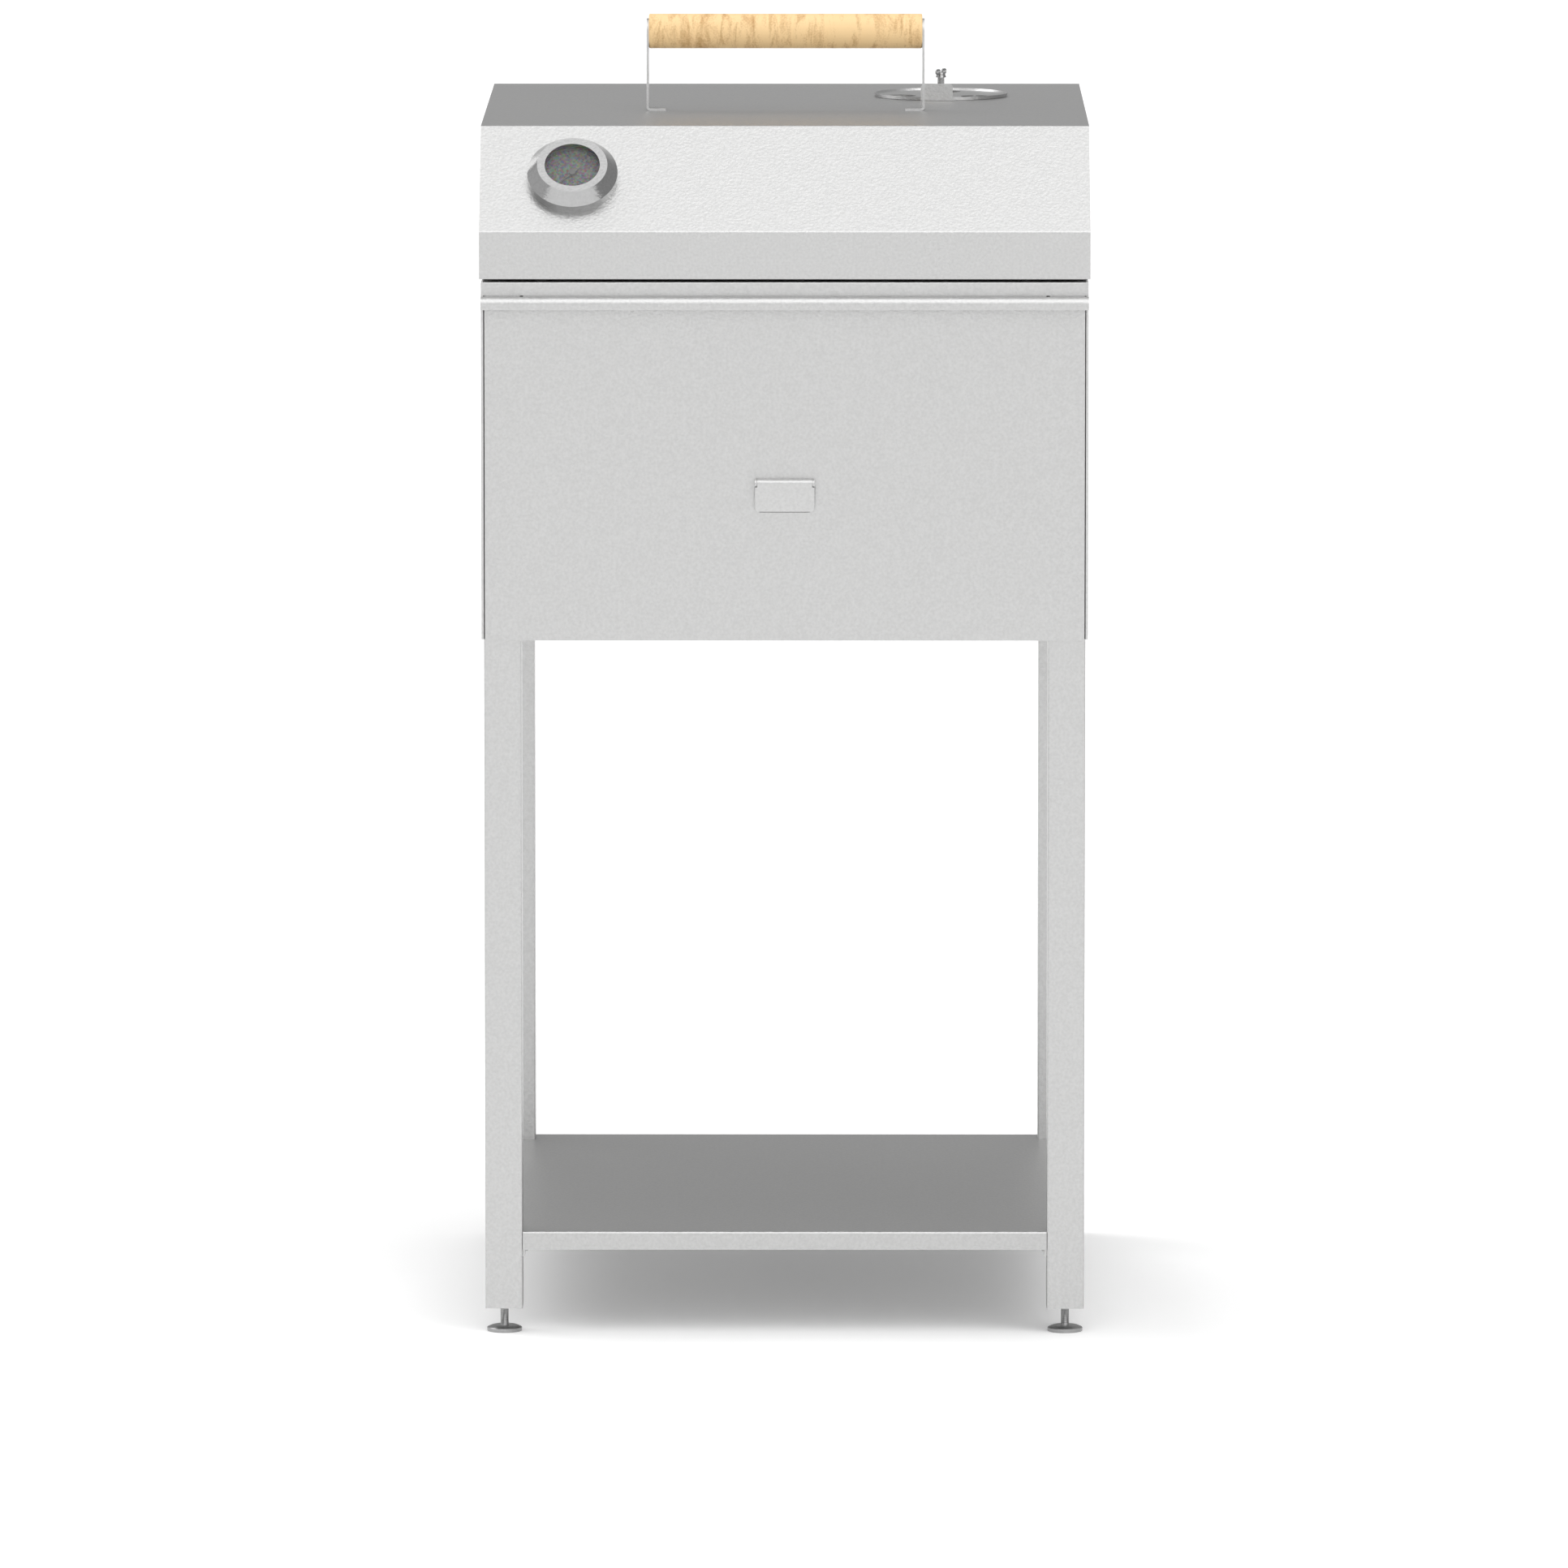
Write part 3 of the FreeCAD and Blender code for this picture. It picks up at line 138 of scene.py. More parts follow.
class GrillFinishes(bpy.types.PropertyGroup):
    """Colours, gloss and grain of the grill's finishes"""

    sheet: colour("Blasted sheet", "Casing, hood, drawer front, flap and handle arms", (0.56, 0.56, 0.557))
    sheet_roughness: share("Sheet roughness", "Roughness of the blasted sheet and tube", 0.36)
    tube: colour("Tube", "Square legs", (0.56, 0.56, 0.557))
    # The shelf's colour is a little darker than the sheet's: painted shade from the casing above it
    shelf: colour("Shelf", "Bottom shelf", (0.53, 0.53, 0.527))
    grain_size: length("Grain size", "Width of one grain of the blasted surface", 0.0024)
    grain_depth: length("Grain depth", "Height of the blasted surface's grain", 0.00027)
    grain_tone: share("Grain tone", "How far the grain lightens and darkens the steel", 0.05)
    cloud_size: length("Cloud size", "Width of the faint clouds in the steel's gloss", 0.22)
    inner: colour("Firebox steel", "Liners, runners and tray where the heat has not stained them",
                  (0.46, 0.45, 0.43))
    inner_roughness: share("Firebox roughness", "Roughness of the firebox steel", 0.42)
    heat_stain: colour("Heat stain", "Straw and brown stain on the firebox steel", (0.26, 0.19, 0.12))
    stain_size: length("Stain size", "Width of the stain's patches on the firebox steel", 0.09)
    bright: colour("Fasteners", "Screws, nuts and pins", (0.62, 0.62, 0.615))
    bright_roughness: share("Fastener roughness", "Roughness of screws, nuts and pins", 0.25)
    hinge_roughness: share("Hinge roughness", "Roughness of the hinge leaves", 0.32)
    plated: colour("Plated steel", "Feet, leg plugs and wing screw", (0.39, 0.39, 0.39))
    foot_roughness: share("Foot roughness", "Roughness of the levelling feet", 0.3)
    plug_roughness: share("Plug roughness", "Roughness of the leg plugs", 0.35)
    wing_roughness: share("Wing screw roughness", "Roughness of the wing screw", 0.22)
    grate: colour("Cooking grates", "Bright bars of the cooking grates", (0.56, 0.56, 0.55))
    grate_roughness: share("Grate roughness", "Roughness of the cooking grates", 0.3)
    charcoal: colour("Charcoal grate", "Bars that the heat has darkened", (0.16, 0.15, 0.14))
    charcoal_roughness: share("Charcoal grate roughness", "Roughness of the darkened bars", 0.6)
    bar_stain_size: length("Bar stain size", "Width of the stain's patches on the darkened bars", 0.05)
    bezel: colour("Bezel", "Polished thermometer case", (0.44, 0.44, 0.44))
    bezel_roughness: share("Bezel roughness", "Roughness of the polished case", 0.14)
    probe_roughness: share("Probe roughness", "Roughness of the thermometer's stem", 0.3)
    dial: colour("Dial", "Matt dial of the thermometer", (0.087, 0.087, 0.085))
    dial_mark: colour("Dial marks", "Ticks and pointer", (0.087, 0.087, 0.085))
    dial_roughness: share("Dial roughness", "Roughness of the dial, its ticks and pointer", 0.6)
    lens_roughness: share("Lens roughness", "Roughness of the clear lens", 0.05)
    lens_cover: share("Lens cover", "How much of the dial the clear lens hides", 0.05)
    wood_pale: colour("Pale wood", "Ground colour of the grip", (0.935, 0.66, 0.34))
    wood_streak: colour("Wood streaks", "Bands across the grip", (0.54, 0.29, 0.10))
    wood_roughness: share("Wood roughness", "Roughness of the oiled grip", 0.55)
    rubber: colour("Silicone", "Lid rest pads", (0.03, 0.03, 0.03))
    rubber_roughness: share("Silicone roughness", "Roughness of the lid rest pads", 0.7)


class GrillDetails(bpy.types.PropertyGroup):
    """Sizes of the turned and threaded pieces"""

    grip_ease: length("Grip edge", "Rounding of the grip's two ends", 0.0014)
    pad_rim: length("Pad rim", "Height of the foot pad's upright rim", 0.0035)
    pad_height: length("Pad height", "Height of the foot pad", 0.0050)
    pad_top: length("Pad top", "Radius of the foot pad's flat top", 0.0110)
    pad_ease: length("Pad edge", "Rounding of the foot pad's edges", 0.0004)
    stud_radius: length("Foot stud", "Outer radius of the foot's threaded stud", 0.0036)
    stud_pitch: length("Stud pitch", "Thread pitch of the foot's stud", 0.00125)
    screw_pitch: length("Screw pitch", "Thread pitch of the wing screw", 0.0010)
    shank_radius: length("Screw shank", "Outer radius of the wing screw's shank", 0.0030)
    hub_rise: length("Hub rise", "Height of the wing screw's hub above the lid", 0.0165)
    hub_radius: length("Hub radius", "Largest radius of the wing screw's hub", 0.0046)
    hub_height: length("Hub height", "Height of the wing screw's hub", 0.0045)
    wing_thickness: length("Wing thickness", "Thickness of the wing screw's ears", 0.0022)
    tick_count: bpy.props.IntProperty(name="Dial ticks", description="Ticks round the dial", default=28,
                                      min=2)
    tick_length: length("Tick length", "Length of one tick", 0.0030)
    tick_width: length("Tick width", "Width of one tick", 0.0005)
    tick_radius: length("Tick radius", "Outer radius of the ring of ticks", 0.0222)


class GrillStage(bpy.types.PropertyGroup):
    """Floor, light and camera"""

    floor_reach: length("Floor reach", "Half the width of the floor", 70.0)
    floor: colour("Floor", "Plain pale floor", (0.94, 0.94, 0.94))
    floor_roughness: share("Floor roughness", "Roughness of the floor's paint", 0.9)
    floor_glow: level("Floor glow", "Light added where the floor is seen, also in metal and glass", 0.13)
    even_light: level("Even light", "Strength of the light from all round", 0.40)
    overhead: level("Overhead panel", "Strength of the soft panel above the grill", 0.79)
    key: level("Key panel", "Strength of the soft panel high ahead", 1.06)
    front: level("Front panel", "Strength of the wide low panel ahead", 0.60)
    rim: level("Rim panel", "Strength of the small high panel on the left", 2.8)
    side: level("Side panel", "Strength of the small high panel ahead and to the right", 1.5)
    fill: level("Fill panel", "Strength of the low soft panel on the left", 0.28)
    camera_place: bpy.props.FloatVectorProperty(name="Camera place", description="Where the camera stands",
                                                default=(0.03693, -12.80905, 1.94872), precision=5,
                                                subtype="TRANSLATION", unit="LENGTH")
    camera_pitch: bpy.props.FloatProperty(name="Camera pitch", description="How far the camera looks down",
                                          default=0.1173, precision=5, subtype="ANGLE")
    camera_yaw: bpy.props.FloatProperty(name="Camera yaw", description="How far the camera turns left",
                                        default=0.0030, precision=5, subtype="ANGLE")
    camera_lens: bpy.props.FloatProperty(name="Camera lens", description="Focal length of the long lens",
                                         default=338.81, unit="CAMERA")


def node(tree, kind, sockets, **settings):
    """Add a shader node, set its settings, and give each listed socket a value or a link."""
    made = tree.nodes.new(kind)
    for name, value in settings.items():
        setattr(made, name, value)
    for name, value in sockets.items():
        join(tree, value, made.inputs[name])
    return made


def join(tree, value, socket):
    """Link an output to a socket, or set a plain value on it."""
    if isinstance(value, bpy.types.NodeSocket):
        tree.links.new(value, socket)
    else:
        socket.default_value = value


def new_material(name, **sockets):
    """Material with a Principled shader: its tree, the shader and its Object coordinates."""
    material = bpy.data.materials.new(name)
    material.use_nodes = True
    tree = material.node_tree
    shader = tree.nodes["Principled BSDF"]
    for socket, value in sockets.items():
        shader.inputs[socket.replace("_", " ").title()].default_value = value
    place = node(tree, "ShaderNodeTexCoord", {}).outputs["Object"]
    return material, tree, shader, place


def opaque(rgb):
    """Colour with full alpha."""
    return (*rgb, 1.0)


def swung(tree, noise, rgb, reach, swing):
    """Colour that a noise moves up and down by a share of itself.

    Reach is how far from one half the noise has to stray for the full swing.
    """
    shade = node(tree, "ShaderNodeMapRange",
                 {"Vector": noise, "From Min": [0.5 - reach] * 3, "From Max": [0.5 + reach] * 3,
                  "To Min": [(1.0 - swing) * part for part in rgb],
                  "To Max": [(1.0 + swing) * part for part in rgb]}, data_type="FLOAT_VECTOR")
    return shade.outputs["Vector"]


def grained_steel(name, rgb, roughness, grain_size, grain_depth, grain_tone, cloud_size):
    """Metal whose fine grain, noise on Object coordinates, tones and bumps it; wide clouds move its gloss."""
    material, tree, shader, place = new_material(name, metallic=1.0)
    grain = node(tree, "ShaderNodeTexNoise", {"Vector": place, "Scale": 1 / grain_size,
                                              "Detail": GRAIN_DETAIL})
    toned = swung(tree, grain.outputs["Fac"], rgb, GRAIN_REACH, grain_tone)
    relief = node(tree, "ShaderNodeBump", {"Height": grain.outputs["Fac"], "Distance": grain_depth})
    clouds = node(tree, "ShaderNodeTexNoise", {"Vector": place, "Scale": 1 / cloud_size,
                                               "Detail": CLOUD_DETAIL})
    gloss = node(tree, "ShaderNodeMapRange", {"Value": clouds.outputs["Fac"],
                                              "To Min": roughness * (1.0 - GLOSS_SWING),
                                              "To Max": roughness * (1.0 + GLOSS_SWING)})
    join(tree, toned, shader.inputs["Base Color"])
    join(tree, gloss.outputs["Result"], shader.inputs["Roughness"])
    join(tree, relief.outputs["Normal"], shader.inputs["Normal"])
    return material


def stained_steel(name, rgb, stain, roughness, stain_size):
    """Firebox metal: soft noise lays a straw-brown heat stain over the plain steel."""
    material, tree, shader, place = new_material(name, metallic=1.0, roughness=roughness)
    patches = node(tree, "ShaderNodeTexNoise", {"Vector": place, "Scale": 1 / stain_size,
                                                "Detail": STAIN_DETAIL, "Roughness": STAIN_BREAKUP})
    cover = node(tree, "ShaderNodeMapRange", {"Value": patches.outputs["Fac"], "From Min": STAIN_FROM,
                                              "From Max": STAIN_FULL})
    mixed = node(tree, "ShaderNodeMix", {"Factor": cover.outputs["Result"], "A": opaque(rgb),
                                         "B": opaque(stain)}, data_type="RGBA")
    join(tree, mixed.outputs["Result"], shader.inputs["Base Color"])
    return material


def paint_nodes(material, slot):
    """Give a material to every CAD node of a slot."""
    for name in SLOT_NODES[slot]:
        mesh = NODES[name].data
        mesh.materials.clear()
        mesh.materials.append(material)


def closed_grid(points, low_pole, high_pole):
    """Closed surface over a grid of rings: neighbouring rings are joined by quads, a pole closes each end.

    Points is an array of rings x steps x 3 whose steps run once round.
    """
    rings, steps = points.shape[:2]
    i, j = np.meshgrid(np.arange(rings - 1), np.arange(steps), indexing="ij")
    k = (j + 1) % steps
    quads = np.stack([i * steps + j, i * steps + k, (i + 1) * steps + k, (i + 1) * steps + j], axis=-1)
    first = np.arange(steps)
    second = (first + 1) % steps
    last = (rings - 1) * steps
    low = np.stack([np.full(steps, rings * steps), second, first], axis=-1)
    high = np.stack([np.full(steps, rings * steps + 1), last + first, last + second], axis=-1)
    corners = np.vstack([points.reshape(-1, 3), low_pole, high_pole])
    return corners, [quads.reshape(-1, 4), low, high]


def turned(along, radius, centre, axis, across):
    """Turned form: point(s, t) = centre + along * axis + radius * (cos t * across + sin t * third).

    Along and radius are arrays of rings x steps, t runs once round and third stands square to both axes.
    """
    t = np.linspace(0.0, 2 * math.pi, radius.shape[1], endpoint=False)
    ring = np.cos(t)[:, None] * across + np.sin(t)[:, None] * np.cross(axis, across)
    points = centre + along[..., None] * axis + radius[..., None] * ring
    return closed_grid(points, centre + along[0, 0] * axis, centre + along[-1, 0] * axis)


def thread(along, steps, pitch):
    """Share of thread depth, 0 at the root and 1 at the crest: a triangle wave of (along / pitch - turn)."""
    turn = np.arange(steps) / steps
    wave = np.mod(along[:, None] / pitch - turn, 1.0)
    return 1.0 - np.abs(2.0 * wave - 1.0)


def lobe(centre, span, rise, thick, squareness, rings, steps):
    """Rounded ear: point(u, v) = centre + c(v) * (c(u) * span + s(u) * rise) + s(v) * thick.

    c and s are the cosine and sine with their size raised to a power under 1, which squares the outline.
    """
    def power(values):
        return np.sign(values) * np.abs(values) ** squareness

    u = np.linspace(0.0, 2 * math.pi, steps, endpoint=False)
    v = np.linspace(-math.pi / 2, math.pi / 2, rings + 2)[1:-1]
    outline = power(np.cos(u))[:, None] * span + power(np.sin(u))[:, None] * rise
    points = centre + power(np.cos(v))[:, None, None] * outline + power(np.sin(v))[:, None, None] * thick
    return closed_grid(points, centre - thick, centre + thick)


def combined(shells):
    """One list of corners and faces out of several closed shells."""
    corners = []
    faces = []
    start = 0
    for shell_corners, shell_faces in shells:
        corners.append(shell_corners)
        faces += [block + start for block in shell_faces]
        start += len(shell_corners)
    return np.vstack(corners), faces


def add_piece(name, shape, body, material, stands_for=()):
    """Put a shape into the scene as a mesh at the origin that rides on a body and takes the given material."""
    corners, blocks = shape
    mesh = bpy.data.meshes.new(name)
    mesh.from_pydata(corners.tolist(), [], [face for block in blocks for face in block.tolist()])
    mesh.shade_smooth()
    mesh.set_sharp_from_angle(angle=CREASE)
    mesh.materials.append(material)
    piece = bpy.data.objects.new(name, mesh)
    bpy.context.scene.collection.objects.link(piece)
    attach(piece, body)
    if stands_for:
        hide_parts(*stands_for)


def column(values, steps):
    """Repeat one value per ring all the way round."""
    return np.repeat(np.asarray(values)[:, None], steps, axis=1)


def sheet_finish(looks, name, rgb, roughness):
    """Blasted steel with the shared grain."""
    return grained_steel(name, rgb, roughness, looks.grain_size, looks.grain_depth, looks.grain_tone,
                         looks.cloud_size)


class GRILL_OT_casing_and_hood(bpy.types.Operator):
    """Finish the blasted sheet of casing, hood, drawer front, flap, arms and damper"""

    bl_idname = "grill.casing_and_hood"
    bl_label = "Casing and hood"

    def execute(self, context):
        looks = context.scene.grill_finishes
        paint_nodes(sheet_finish(looks, "blasted_sheet", looks.sheet, looks.sheet_roughness), "sheet_steel")
        return {"FINISHED"}


class GRILL_OT_legs_and_shelf(bpy.types.Operator):
    """Finish the square legs and the bottom shelf"""

    bl_idname = "grill.legs_and_shelf"
    bl_label = "Legs and shelf"

    def execute(self, context):
        looks = context.scene.grill_finishes
        paint_nodes(sheet_finish(looks, "blasted_tube", looks.tube, looks.sheet_roughness), "tube_steel")
        # The shelf gets a darker copy of the sheet's colour, as painted shade under the casing
        paint_nodes(sheet_finish(looks, "blasted_shelf_painted_shade", looks.shelf, looks.sheet_roughness), "shelf_steel")
        return {"FINISHED"}


class GRILL_OT_firebox(bpy.types.Operator):
    """Finish the liners, runners and tray, stained by heat"""

    bl_idname = "grill.firebox"
    bl_label = "Firebox"

    def execute(self, context):
        looks = context.scene.grill_finishes
        steel = stained_steel("firebox_steel", looks.inner, looks.heat_stain, looks.inner_roughness,
                              looks.stain_size)
        paint_nodes(steel, "inner_steel")
        return {"FINISHED"}


class GRILL_OT_grates(bpy.types.Operator):
    """Finish the cooking grates and the charcoal grate"""

    bl_idname = "grill.grates"
    bl_label = "Grates"

    def execute(self, context):
        looks = context.scene.grill_finishes
        paint_nodes(sheet_finish(looks, "grate_bars", looks.grate, looks.grate_roughness), "grate_steel")
        darkened = stained_steel("charcoal_grate_bars", looks.charcoal, looks.heat_stain,
                                 looks.charcoal_roughness, looks.bar_stain_size)
        paint_nodes(darkened, "charcoal_grate_steel")
        return {"FINISHED"}


class GRILL_OT_fasteners(bpy.types.Operator):
    """Finish screws, nuts, pins, plugs, hinges and the lid's rest pads"""

    bl_idname = "grill.fasteners"
    bl_label = "Fasteners and hinges"

    def execute(self, context):
        looks = context.scene.grill_finishes
        fasteners = sheet_finish(looks, "bright_fasteners", looks.bright, looks.bright_roughness)
        hinges = sheet_finish(looks, "plated_hinges", looks.sheet, looks.hinge_roughness)
        plugs = sheet_finish(looks, "plated_plugs", looks.plated, looks.plug_roughness)
        rubber = new_material("black_silicone", base_color=opaque(looks.rubber),
                              roughness=looks.rubber_roughness)[0]
        paint_nodes(fasteners, "fastener_steel")
        paint_nodes(hinges, "hinge_steel")
        paint_nodes(plugs, "plug_steel")
        paint_nodes(rubber, "pad_silicone")
        return {"FINISHED"}


class GRILL_OT_levelling_feet(bpy.types.Operator):
    """Make the four levelling feet: a bevelled pad with a threaded stud"""

    bl_idname = "grill.levelling_feet"
    bl_label = "Levelling feet"

    steps = 40
    rows_per_pitch = 6
    thread_depth = 0.0003
    thread_run_in = 0.0015
    tip_chamfer = 0.0010

    def execute(self, context):
        looks = context.scene.grill_finishes
        sizes = context.scene.grill_details
        material = sheet_finish(looks, "plated_feet", looks.plated, looks.foot_roughness)
        paint_nodes(material, "foot_steel")
        for name in FEET:
            shape = self.foot(sizes, *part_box(name))
            add_piece(f"levelling_{name}", shape, name, material, stands_for=[name])
        return {"FINISHED"}

    def foot(self, sizes, low, high):
        """Pad profile below, then a stud whose radius follows the thread's triangle wave."""
        pad = (high.x - low.x) / 2
        ease = sizes.pad_ease
        pad_rows = np.array([(0.0, pad - ease), (ease, pad), (sizes.pad_rim - ease, pad),
                             (sizes.pad_rim, pad - ease), (sizes.pad_height, sizes.pad_top),
                             (sizes.pad_height, sizes.stud_radius + ease)])
        rise = high.z - low.z - sizes.pad_height
        count = int(self.rows_per_pitch * rise / sizes.stud_pitch)
        above = np.linspace(0.0, rise, count)
        run_in = np.clip(above / self.thread_run_in, 0.0, 1.0)
        chamfer = np.clip((above - rise) / self.tip_chamfer + 1.0, 0.0, 1.0) * self.tip_chamfer
        cut = self.thread_depth * (1.0 - thread(above, self.steps, sizes.stud_pitch)) * run_in[:, None]
        stud = sizes.stud_radius - np.maximum(cut, chamfer[:, None])
        along = column(np.concatenate([pad_rows[:, 0], sizes.pad_height + above]), self.steps)
        radius = np.vstack([column(pad_rows[:, 1], self.steps), stud])
        centre = np.array(((low.x + high.x) / 2, (low.y + high.y) / 2, low.z))
        return turned(along, radius, centre, UP, RIGHT)


class GRILL_OT_handle_grip(bpy.types.Operator):
    """Make the turned wooden grip with eased ends"""

    bl_idname = "grill.handle_grip"
    bl_label = "Wooden grip"

    steps = 96
    ease_rows = 7
    squeeze = (1.0, 0.22, 0.22)
    band_scale = 90.0
    band_detail = 5.0
    band_breakup = 0.6
    band_sway = 1.1
    pore_scale = 700.0
    pore_detail = 2.0
    pore_share = 0.3
    pore_depth = 0.00008
    streak_from = 0.64
    streak_full = 0.92

    def execute(self, context):
        looks = context.scene.grill_finishes
        ease = context.scene.grill_details.grip_ease
        material = self.wood(looks)
        paint_nodes(material, "grip_wood")
        add_piece("turned_grip", self.grip(ease), "lid", material, stands_for=["handle_grip"])
        return {"FINISHED"}

    def grip(self, ease):
        """Straight round bar whose ends are eased by quarter circles of radius ease."""
        low, high = (np.array(corner) for corner in GRIP_BOX)
        span = high[0] - low[0]
        radius = (high[2] - low[2]) / 2
        bend = np.linspace(0.0, math.pi / 2, self.ease_rows)
        start = ease * (1.0 - np.cos(bend))
        rows = radius - ease + ease * np.sin(bend)
        along = column(np.concatenate([start, span - start[::-1]]), self.steps)
        radii = column(np.concatenate([rows, rows[::-1]]), self.steps)
        centre = np.array((low[0], (low[1] + high[1]) / 2, (low[2] + high[2]) / 2))
        return turned(along, radii, centre, RIGHT, UP)

    def wood(self, looks):
        """Pale wood whose wavy darker bands run round the grip, flecked by fine pores."""
        material, tree, shader, place = new_material("oiled_pale_wood", roughness=looks.wood_roughness)
        squeezed = node(tree, "ShaderNodeMapping", {"Vector": place, "Scale": self.squeeze})
        band = node(tree, "ShaderNodeTexNoise",
                    {"Vector": squeezed.outputs["Vector"], "Scale": self.band_scale,
                     "Detail": self.band_detail, "Roughness": self.band_breakup,
                     "Distortion": self.band_sway})
        pores = node(tree, "ShaderNodeTexNoise", {"Vector": place, "Scale": self.pore_scale,
                                                  "Detail": self.pore_detail})
        flecked = node(tree, "ShaderNodeMath",
                       {0: pores.outputs["Fac"], 1: self.pore_share, 2: band.outputs["Fac"]},
                       operation="MULTIPLY_ADD")
        cover = node(tree, "ShaderNodeMapRange", {"Value": flecked.outputs["Value"],
                                                  "From Min": self.streak_from, "From Max": self.streak_full})
        mixed = node(tree, "ShaderNodeMix", {"Factor": cover.outputs["Result"], "A": opaque(looks.wood_pale),
                                             "B": opaque(looks.wood_streak)}, data_type="RGBA")
        relief = node(tree, "ShaderNodeBump", {"Height": pores.outputs["Fac"], "Distance": self.pore_depth})
        join(tree, mixed.outputs["Result"], shader.inputs["Base Color"])
        join(tree, relief.outputs["Normal"], shader.inputs["Normal"])
        return material


class GRILL_OT_thermometer(bpy.types.Operator):
    """Finish the thermometer's case, dial, pointer, lens and probe, and make the dial's ticks"""

    bl_idname = "grill.thermometer"
    bl_label = "Thermometer"

    sweep = math.radians(270)
    tick_rise = 0.0001
    polished_grain = 0.25
    speckle_scale = 420.0
    speckle_detail = 2.0
    speckle_reach = 0.1
    speckle_swing = 0.8

    def execute(self, context):
        looks = context.scene.grill_finishes
        sizes = context.scene.grill_details
        case = grained_steel("polished_case", looks.bezel, looks.bezel_roughness, looks.grain_size,
                             self.polished_grain * looks.grain_depth, looks.grain_tone, looks.cloud_size)
        paint_nodes(case, "bezel_steel")
        probe = sheet_finish(looks, "drawn_probe", looks.bright, looks.probe_roughness)
        paint_nodes(probe, "probe_steel")
        paint_nodes(self.dial(looks), "dial_paint")
        marks = new_material("dial_marks", base_color=opaque(looks.dial_mark),
                             roughness=looks.dial_roughness)[0]
        paint_nodes(marks, "pointer_paint")
        lens = new_material("clear_lens", base_color=WHITE, roughness=looks.lens_roughness,
                            alpha=looks.lens_cover)[0]
        paint_nodes(lens, "lens_glass")
        add_piece("dial_ticks", self.ticks(sizes), "lid", marks)
        return {"FINISHED"}

    def dial(self, looks):
        """Matt grey with a fine speckle of light and dark."""
        material, tree, shader, place = new_material("speckled_dial", roughness=looks.dial_roughness)
        speckle = node(tree, "ShaderNodeTexNoise", {"Vector": place, "Scale": self.speckle_scale,
                                                    "Detail": self.speckle_detail})
        toned = swung(tree, speckle.outputs["Color"], looks.dial, self.speckle_reach, self.speckle_swing)
        join(tree, toned, shader.inputs["Base Color"])
        return material

    def ticks(self, sizes):
        """Flat bars on the dial: bar k is a box along the radius at angle k of the sweep."""
        outward = -np.array(JOINTS["pointer_turn"]["axis"])
        low, high = (np.array(corner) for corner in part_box("thermometer_dial"))
        # A tilted disc's box is width times the normal's y plus thickness times the normal's z high
        thickness = (high[2] - low[2] - (high[0] - low[0]) * abs(outward[1])) / abs(outward[2])
        centre = (low + high) / 2 + outward * thickness / 2
        side = np.cross(UP, outward)
        side /= np.linalg.norm(side)
        top = np.cross(outward, side)
        angles = np.linspace(-self.sweep / 2, self.sweep / 2, sizes.tick_count)
        radial = np.sin(angles)[:, None] * side + np.cos(angles)[:, None] * top
        beside = np.cross(outward, radial)
        corners = np.array([(r, w, h) for h in (0, 1) for r, w in ((0, -1), (1, -1), (1, 1), (0, 1))], float)
        reach = sizes.tick_radius - sizes.tick_length * (1.0 - corners[:, 0])
        points = (centre + reach[None, :, None] * radial[:, None, :]
                  + (corners[:, 1] * sizes.tick_width / 2)[None, :, None] * beside[:, None, :]
                  + (corners[:, 2] * self.tick_rise)[None, :, None] * outward)
        sides = np.array([(0, 3, 2, 1), (4, 5, 6, 7), (0, 1, 5, 4), (1, 2, 6, 5), (2, 3, 7, 6), (3, 0, 4, 7)])
        faces = sides[None] + len(corners) * np.arange(sizes.tick_count)[:, None, None]
        return points.reshape(-1, 3), [faces.reshape(-1, 4)]


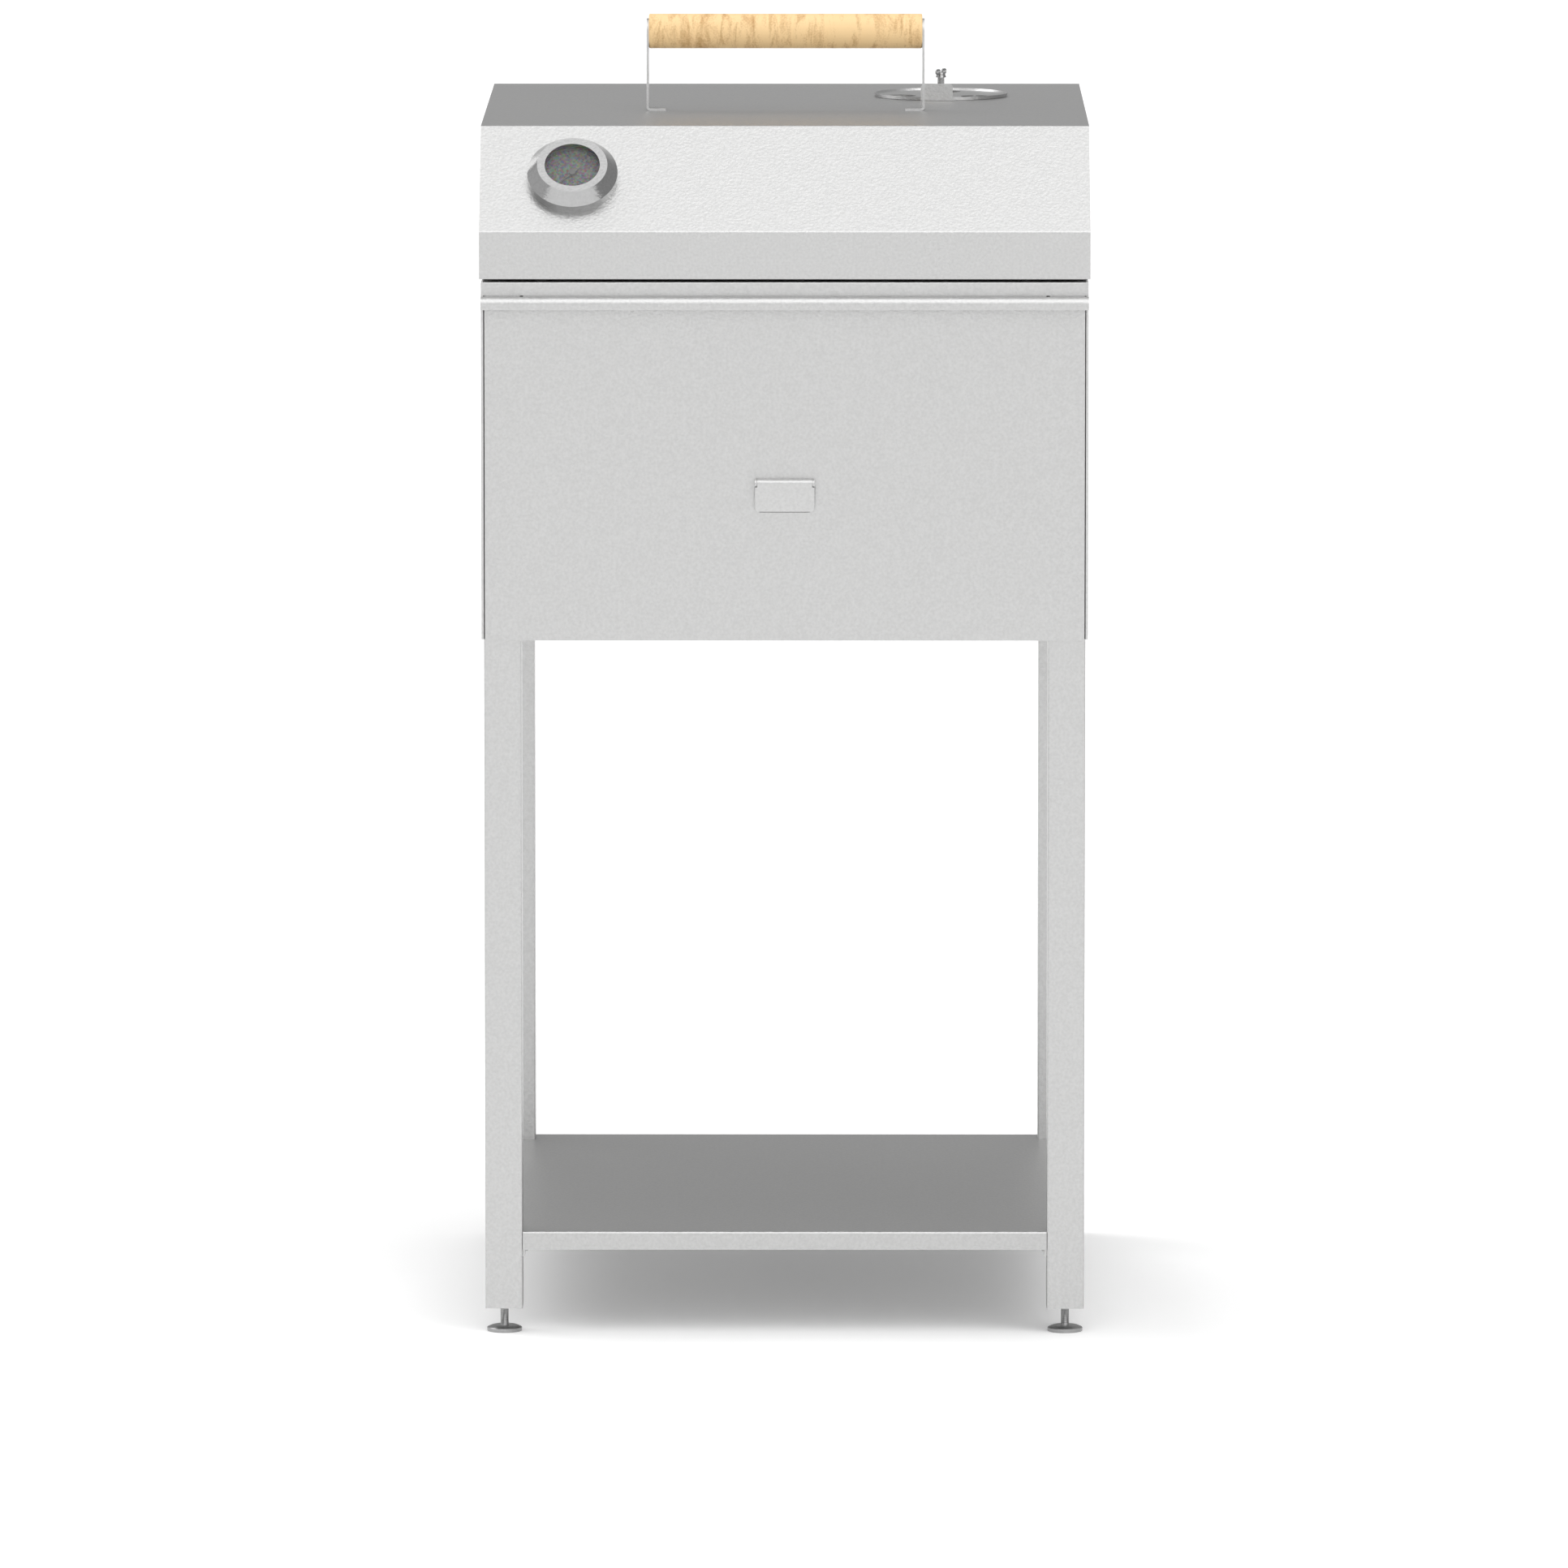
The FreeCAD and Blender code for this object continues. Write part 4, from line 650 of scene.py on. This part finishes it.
class GRILL_OT_wing_screw(bpy.types.Operator):
    """Make the damper's wing screw: a threaded shank, a rounded hub and two ears"""

    bl_idname = "grill.wing_screw"
    bl_label = "Wing screw"

    steps = 40
    rows_per_pitch = 6
    thread_depth = 0.0004
    thread_top = 0.0085
    hub_rows = 6
    hub_round = 0.25
    hub_top_radius = 0.0036
    wing_turn = math.radians(65)
    ear_reach = 0.0062
    ear_span = 0.0048
    ear_rise = 0.0025
    ear_rings = 17
    ear_squareness = 0.7

    def execute(self, context):
        looks = context.scene.grill_finishes
        sizes = context.scene.grill_details
        material = sheet_finish(looks, "plated_wing_screw", looks.plated, looks.wing_roughness)
        add_piece("cast_wing_screw", combined([self.shank(sizes), *self.ears(sizes)]), "wing_screw",
                  material, stands_for=["damper_wing_screw"])
        return {"FINISHED"}

    def axis_point(self, z):
        """Point on the wing screw's axis at a height."""
        x, y = JOINTS["wing_screw_turn"]["pos_m"][:2]
        return np.array((x, y, z))

    def shank(self, sizes):
        """Shank with a thread up to thread_top, plain above it, then the hub's rounded cone."""
        low = SCREW_BOX[0].z
        neck = LID_TOP + sizes.hub_rise
        z = np.linspace(low, neck, int(self.rows_per_pitch * (neck - low) / sizes.screw_pitch))
        fade = np.clip((LID_TOP + self.thread_top - z) / sizes.screw_pitch, 0.0, 1.0)
        cut = self.thread_depth * (1.0 - thread(z - low, self.steps, sizes.screw_pitch)) * fade[:, None]
        bend = np.linspace(0.0, math.pi / 2, self.hub_rows)
        round_over = self.hub_round * sizes.hub_height
        hub_z = np.concatenate([[neck, neck], neck + sizes.hub_height - round_over * (1 - np.sin(bend))])
        hub_r = np.concatenate([[sizes.shank_radius, sizes.hub_radius],
                                self.hub_top_radius - round_over * (1 - np.cos(bend))])
        along = column(np.concatenate([z, hub_z]), self.steps)
        radius = np.vstack([sizes.shank_radius - cut, column(hub_r, self.steps)])
        return turned(along, radius, self.axis_point(0.0), UP, RIGHT)

    def ears(self, sizes):
        """Two rounded ears that lean outward from the hub."""
        centre = self.axis_point(SCREW_BOX[1].z - self.ear_rise)
        for sign in (-1.0, 1.0):
            out = sign * np.array((math.cos(self.wing_turn), math.sin(self.wing_turn), 0.0))
            yield lobe(centre + self.ear_reach * out, self.ear_span * out, self.ear_rise * UP,
                       sizes.wing_thickness / 2 * np.cross(out, UP), self.ear_squareness, self.ear_rings,
                       self.steps)


class GRILL_OT_stage(bpy.types.Operator):
    """Lay the floor, set the soft studio light and place the camera"""

    bl_idname = "grill.stage"
    bl_label = "Stage"

    clip_reaches = 4.0

    def execute(self, context):
        stage = context.scene.grill_stage
        context.scene.view_settings.view_transform = "Standard"
        self.floor(stage)
        self.light(stage)
        self.camera(stage)
        return {"FINISHED"}

    def floor(self, stage):
        """One flat square under the grill."""
        reach = stage.floor_reach
        mesh = bpy.data.meshes.new("floor")
        mesh.from_pydata([(-reach, -reach, 0), (reach, -reach, 0), (reach, reach, 0), (-reach, reach, 0)], [],
                         [(0, 1, 2, 3)])
        mesh.materials.append(self.floor_paint(stage))
        floor = bpy.data.objects.new("floor", mesh)
        bpy.context.scene.collection.objects.link(floor)
        floor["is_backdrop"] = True

    def floor_paint(self, stage):
        """Matt pale paint with a faint glow that the camera, metal and glass see, but that lights nothing."""
        material, tree, shader, _ = new_material("pale_floor", base_color=opaque(stage.floor),
                                                 roughness=stage.floor_roughness, emission_color=WHITE)
        shader.inputs["Specular IOR Level"].default_value = 0.0
        path = node(tree, "ShaderNodeLightPath", {})
        seen = path.outputs["Is Camera Ray"]
        for ray in ("Is Glossy Ray", "Is Transmission Ray"):
            seen = node(tree, "ShaderNodeMath", {0: seen, 1: path.outputs[ray]},
                        operation="MAXIMUM").outputs["Value"]
        glow = node(tree, "ShaderNodeMath", {0: seen, 1: stage.floor_glow}, operation="MULTIPLY")
        join(tree, glow.outputs["Value"], shader.inputs["Emission Strength"])
        return material

    def light(self, stage):
        """Even light plus soft panels, each fading with the angle between the heading and its middle."""
        world = bpy.data.worlds.new("studio_light")
        world.use_nodes = True
        bpy.context.scene.world = world
        tree = world.node_tree
        heading = node(tree, "ShaderNodeTexCoord", {}).outputs["Generated"]
        total = stage.even_light
        for name, (middle, core, edge) in SOFT_PANELS.items():
            facing = node(tree, "ShaderNodeVectorMath", {0: heading, 1: middle}, operation="DOT_PRODUCT")
            panel = node(tree, "ShaderNodeMapRange",
                         {"Value": facing.outputs["Value"], "From Min": math.cos(math.radians(edge)),
                          "From Max": math.cos(math.radians(core)), "To Max": getattr(stage, name)},
                         interpolation_type="SMOOTHSTEP")
            total = node(tree, "ShaderNodeMath", {0: panel.outputs["Result"], 1: total}).outputs["Value"]
        background = tree.nodes["Background"]
        background.inputs["Color"].default_value = WHITE
        join(tree, total, background.inputs["Strength"])

    def camera(self, stage):
        """Long lens from far in front, looking a little down."""
        lens = bpy.data.cameras.new("camera")
        lens.lens = stage.camera_lens
        lens.clip_end = self.clip_reaches * stage.floor_reach
        camera = bpy.data.objects.new("camera", lens)
        camera.location = stage.camera_place
        camera.rotation_euler = (math.pi / 2 - stage.camera_pitch, 0.0, stage.camera_yaw)
        bpy.context.scene.collection.objects.link(camera)
        bpy.context.scene.camera = camera


OPERATORS = (GRILL_OT_casing_and_hood, GRILL_OT_legs_and_shelf, GRILL_OT_firebox, GRILL_OT_grates,
             GRILL_OT_fasteners, GRILL_OT_levelling_feet, GRILL_OT_handle_grip, GRILL_OT_thermometer,
             GRILL_OT_wing_screw, GRILL_OT_stage)


class GRILL_PT_panel(bpy.types.Panel):
    """Lists the grill's pieces and finishes"""

    bl_idname = "GRILL_PT_panel"
    bl_label = "Charcoal grill"
    bl_space_type = "VIEW_3D"
    bl_region_type = "UI"
    bl_category = "Grill"

    def draw(self, context):
        for operator in OPERATORS:
            self.layout.operator(operator.bl_idname)


GROUPS = {"grill_finishes": GrillFinishes, "grill_details": GrillDetails, "grill_stage": GrillStage}


def register():
    """Register the groups, operators and panel, and hang the groups on the scene."""
    for name, group in GROUPS.items():
        bpy.utils.register_class(group)
        setattr(bpy.types.Scene, name, bpy.props.PointerProperty(type=group))
    for operator in OPERATORS:
        bpy.utils.register_class(operator)
    bpy.utils.register_class(GRILL_PT_panel)


def unregister():
    """Take away what register added."""
    bpy.utils.unregister_class(GRILL_PT_panel)
    for operator in reversed(OPERATORS):
        bpy.utils.unregister_class(operator)
    for name, group in GROUPS.items():
        delattr(bpy.types.Scene, name)
        bpy.utils.unregister_class(group)


def main():
    """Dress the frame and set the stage."""
    register()
    bpy.ops.grill.casing_and_hood()
    bpy.ops.grill.legs_and_shelf()
    bpy.ops.grill.firebox()
    bpy.ops.grill.grates()
    bpy.ops.grill.fasteners()
    bpy.ops.grill.levelling_feet()
    bpy.ops.grill.handle_grip()
    bpy.ops.grill.thermometer()
    bpy.ops.grill.wing_screw()
    bpy.ops.grill.stage()
    bpy.context.view_layer.update()
    boxes = {"cad": CAD_BOX, "visual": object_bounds()}
    {name: [list(corner) for corner in box] for name, box in boxes.items()}


if __name__ == "__main__":
    main()
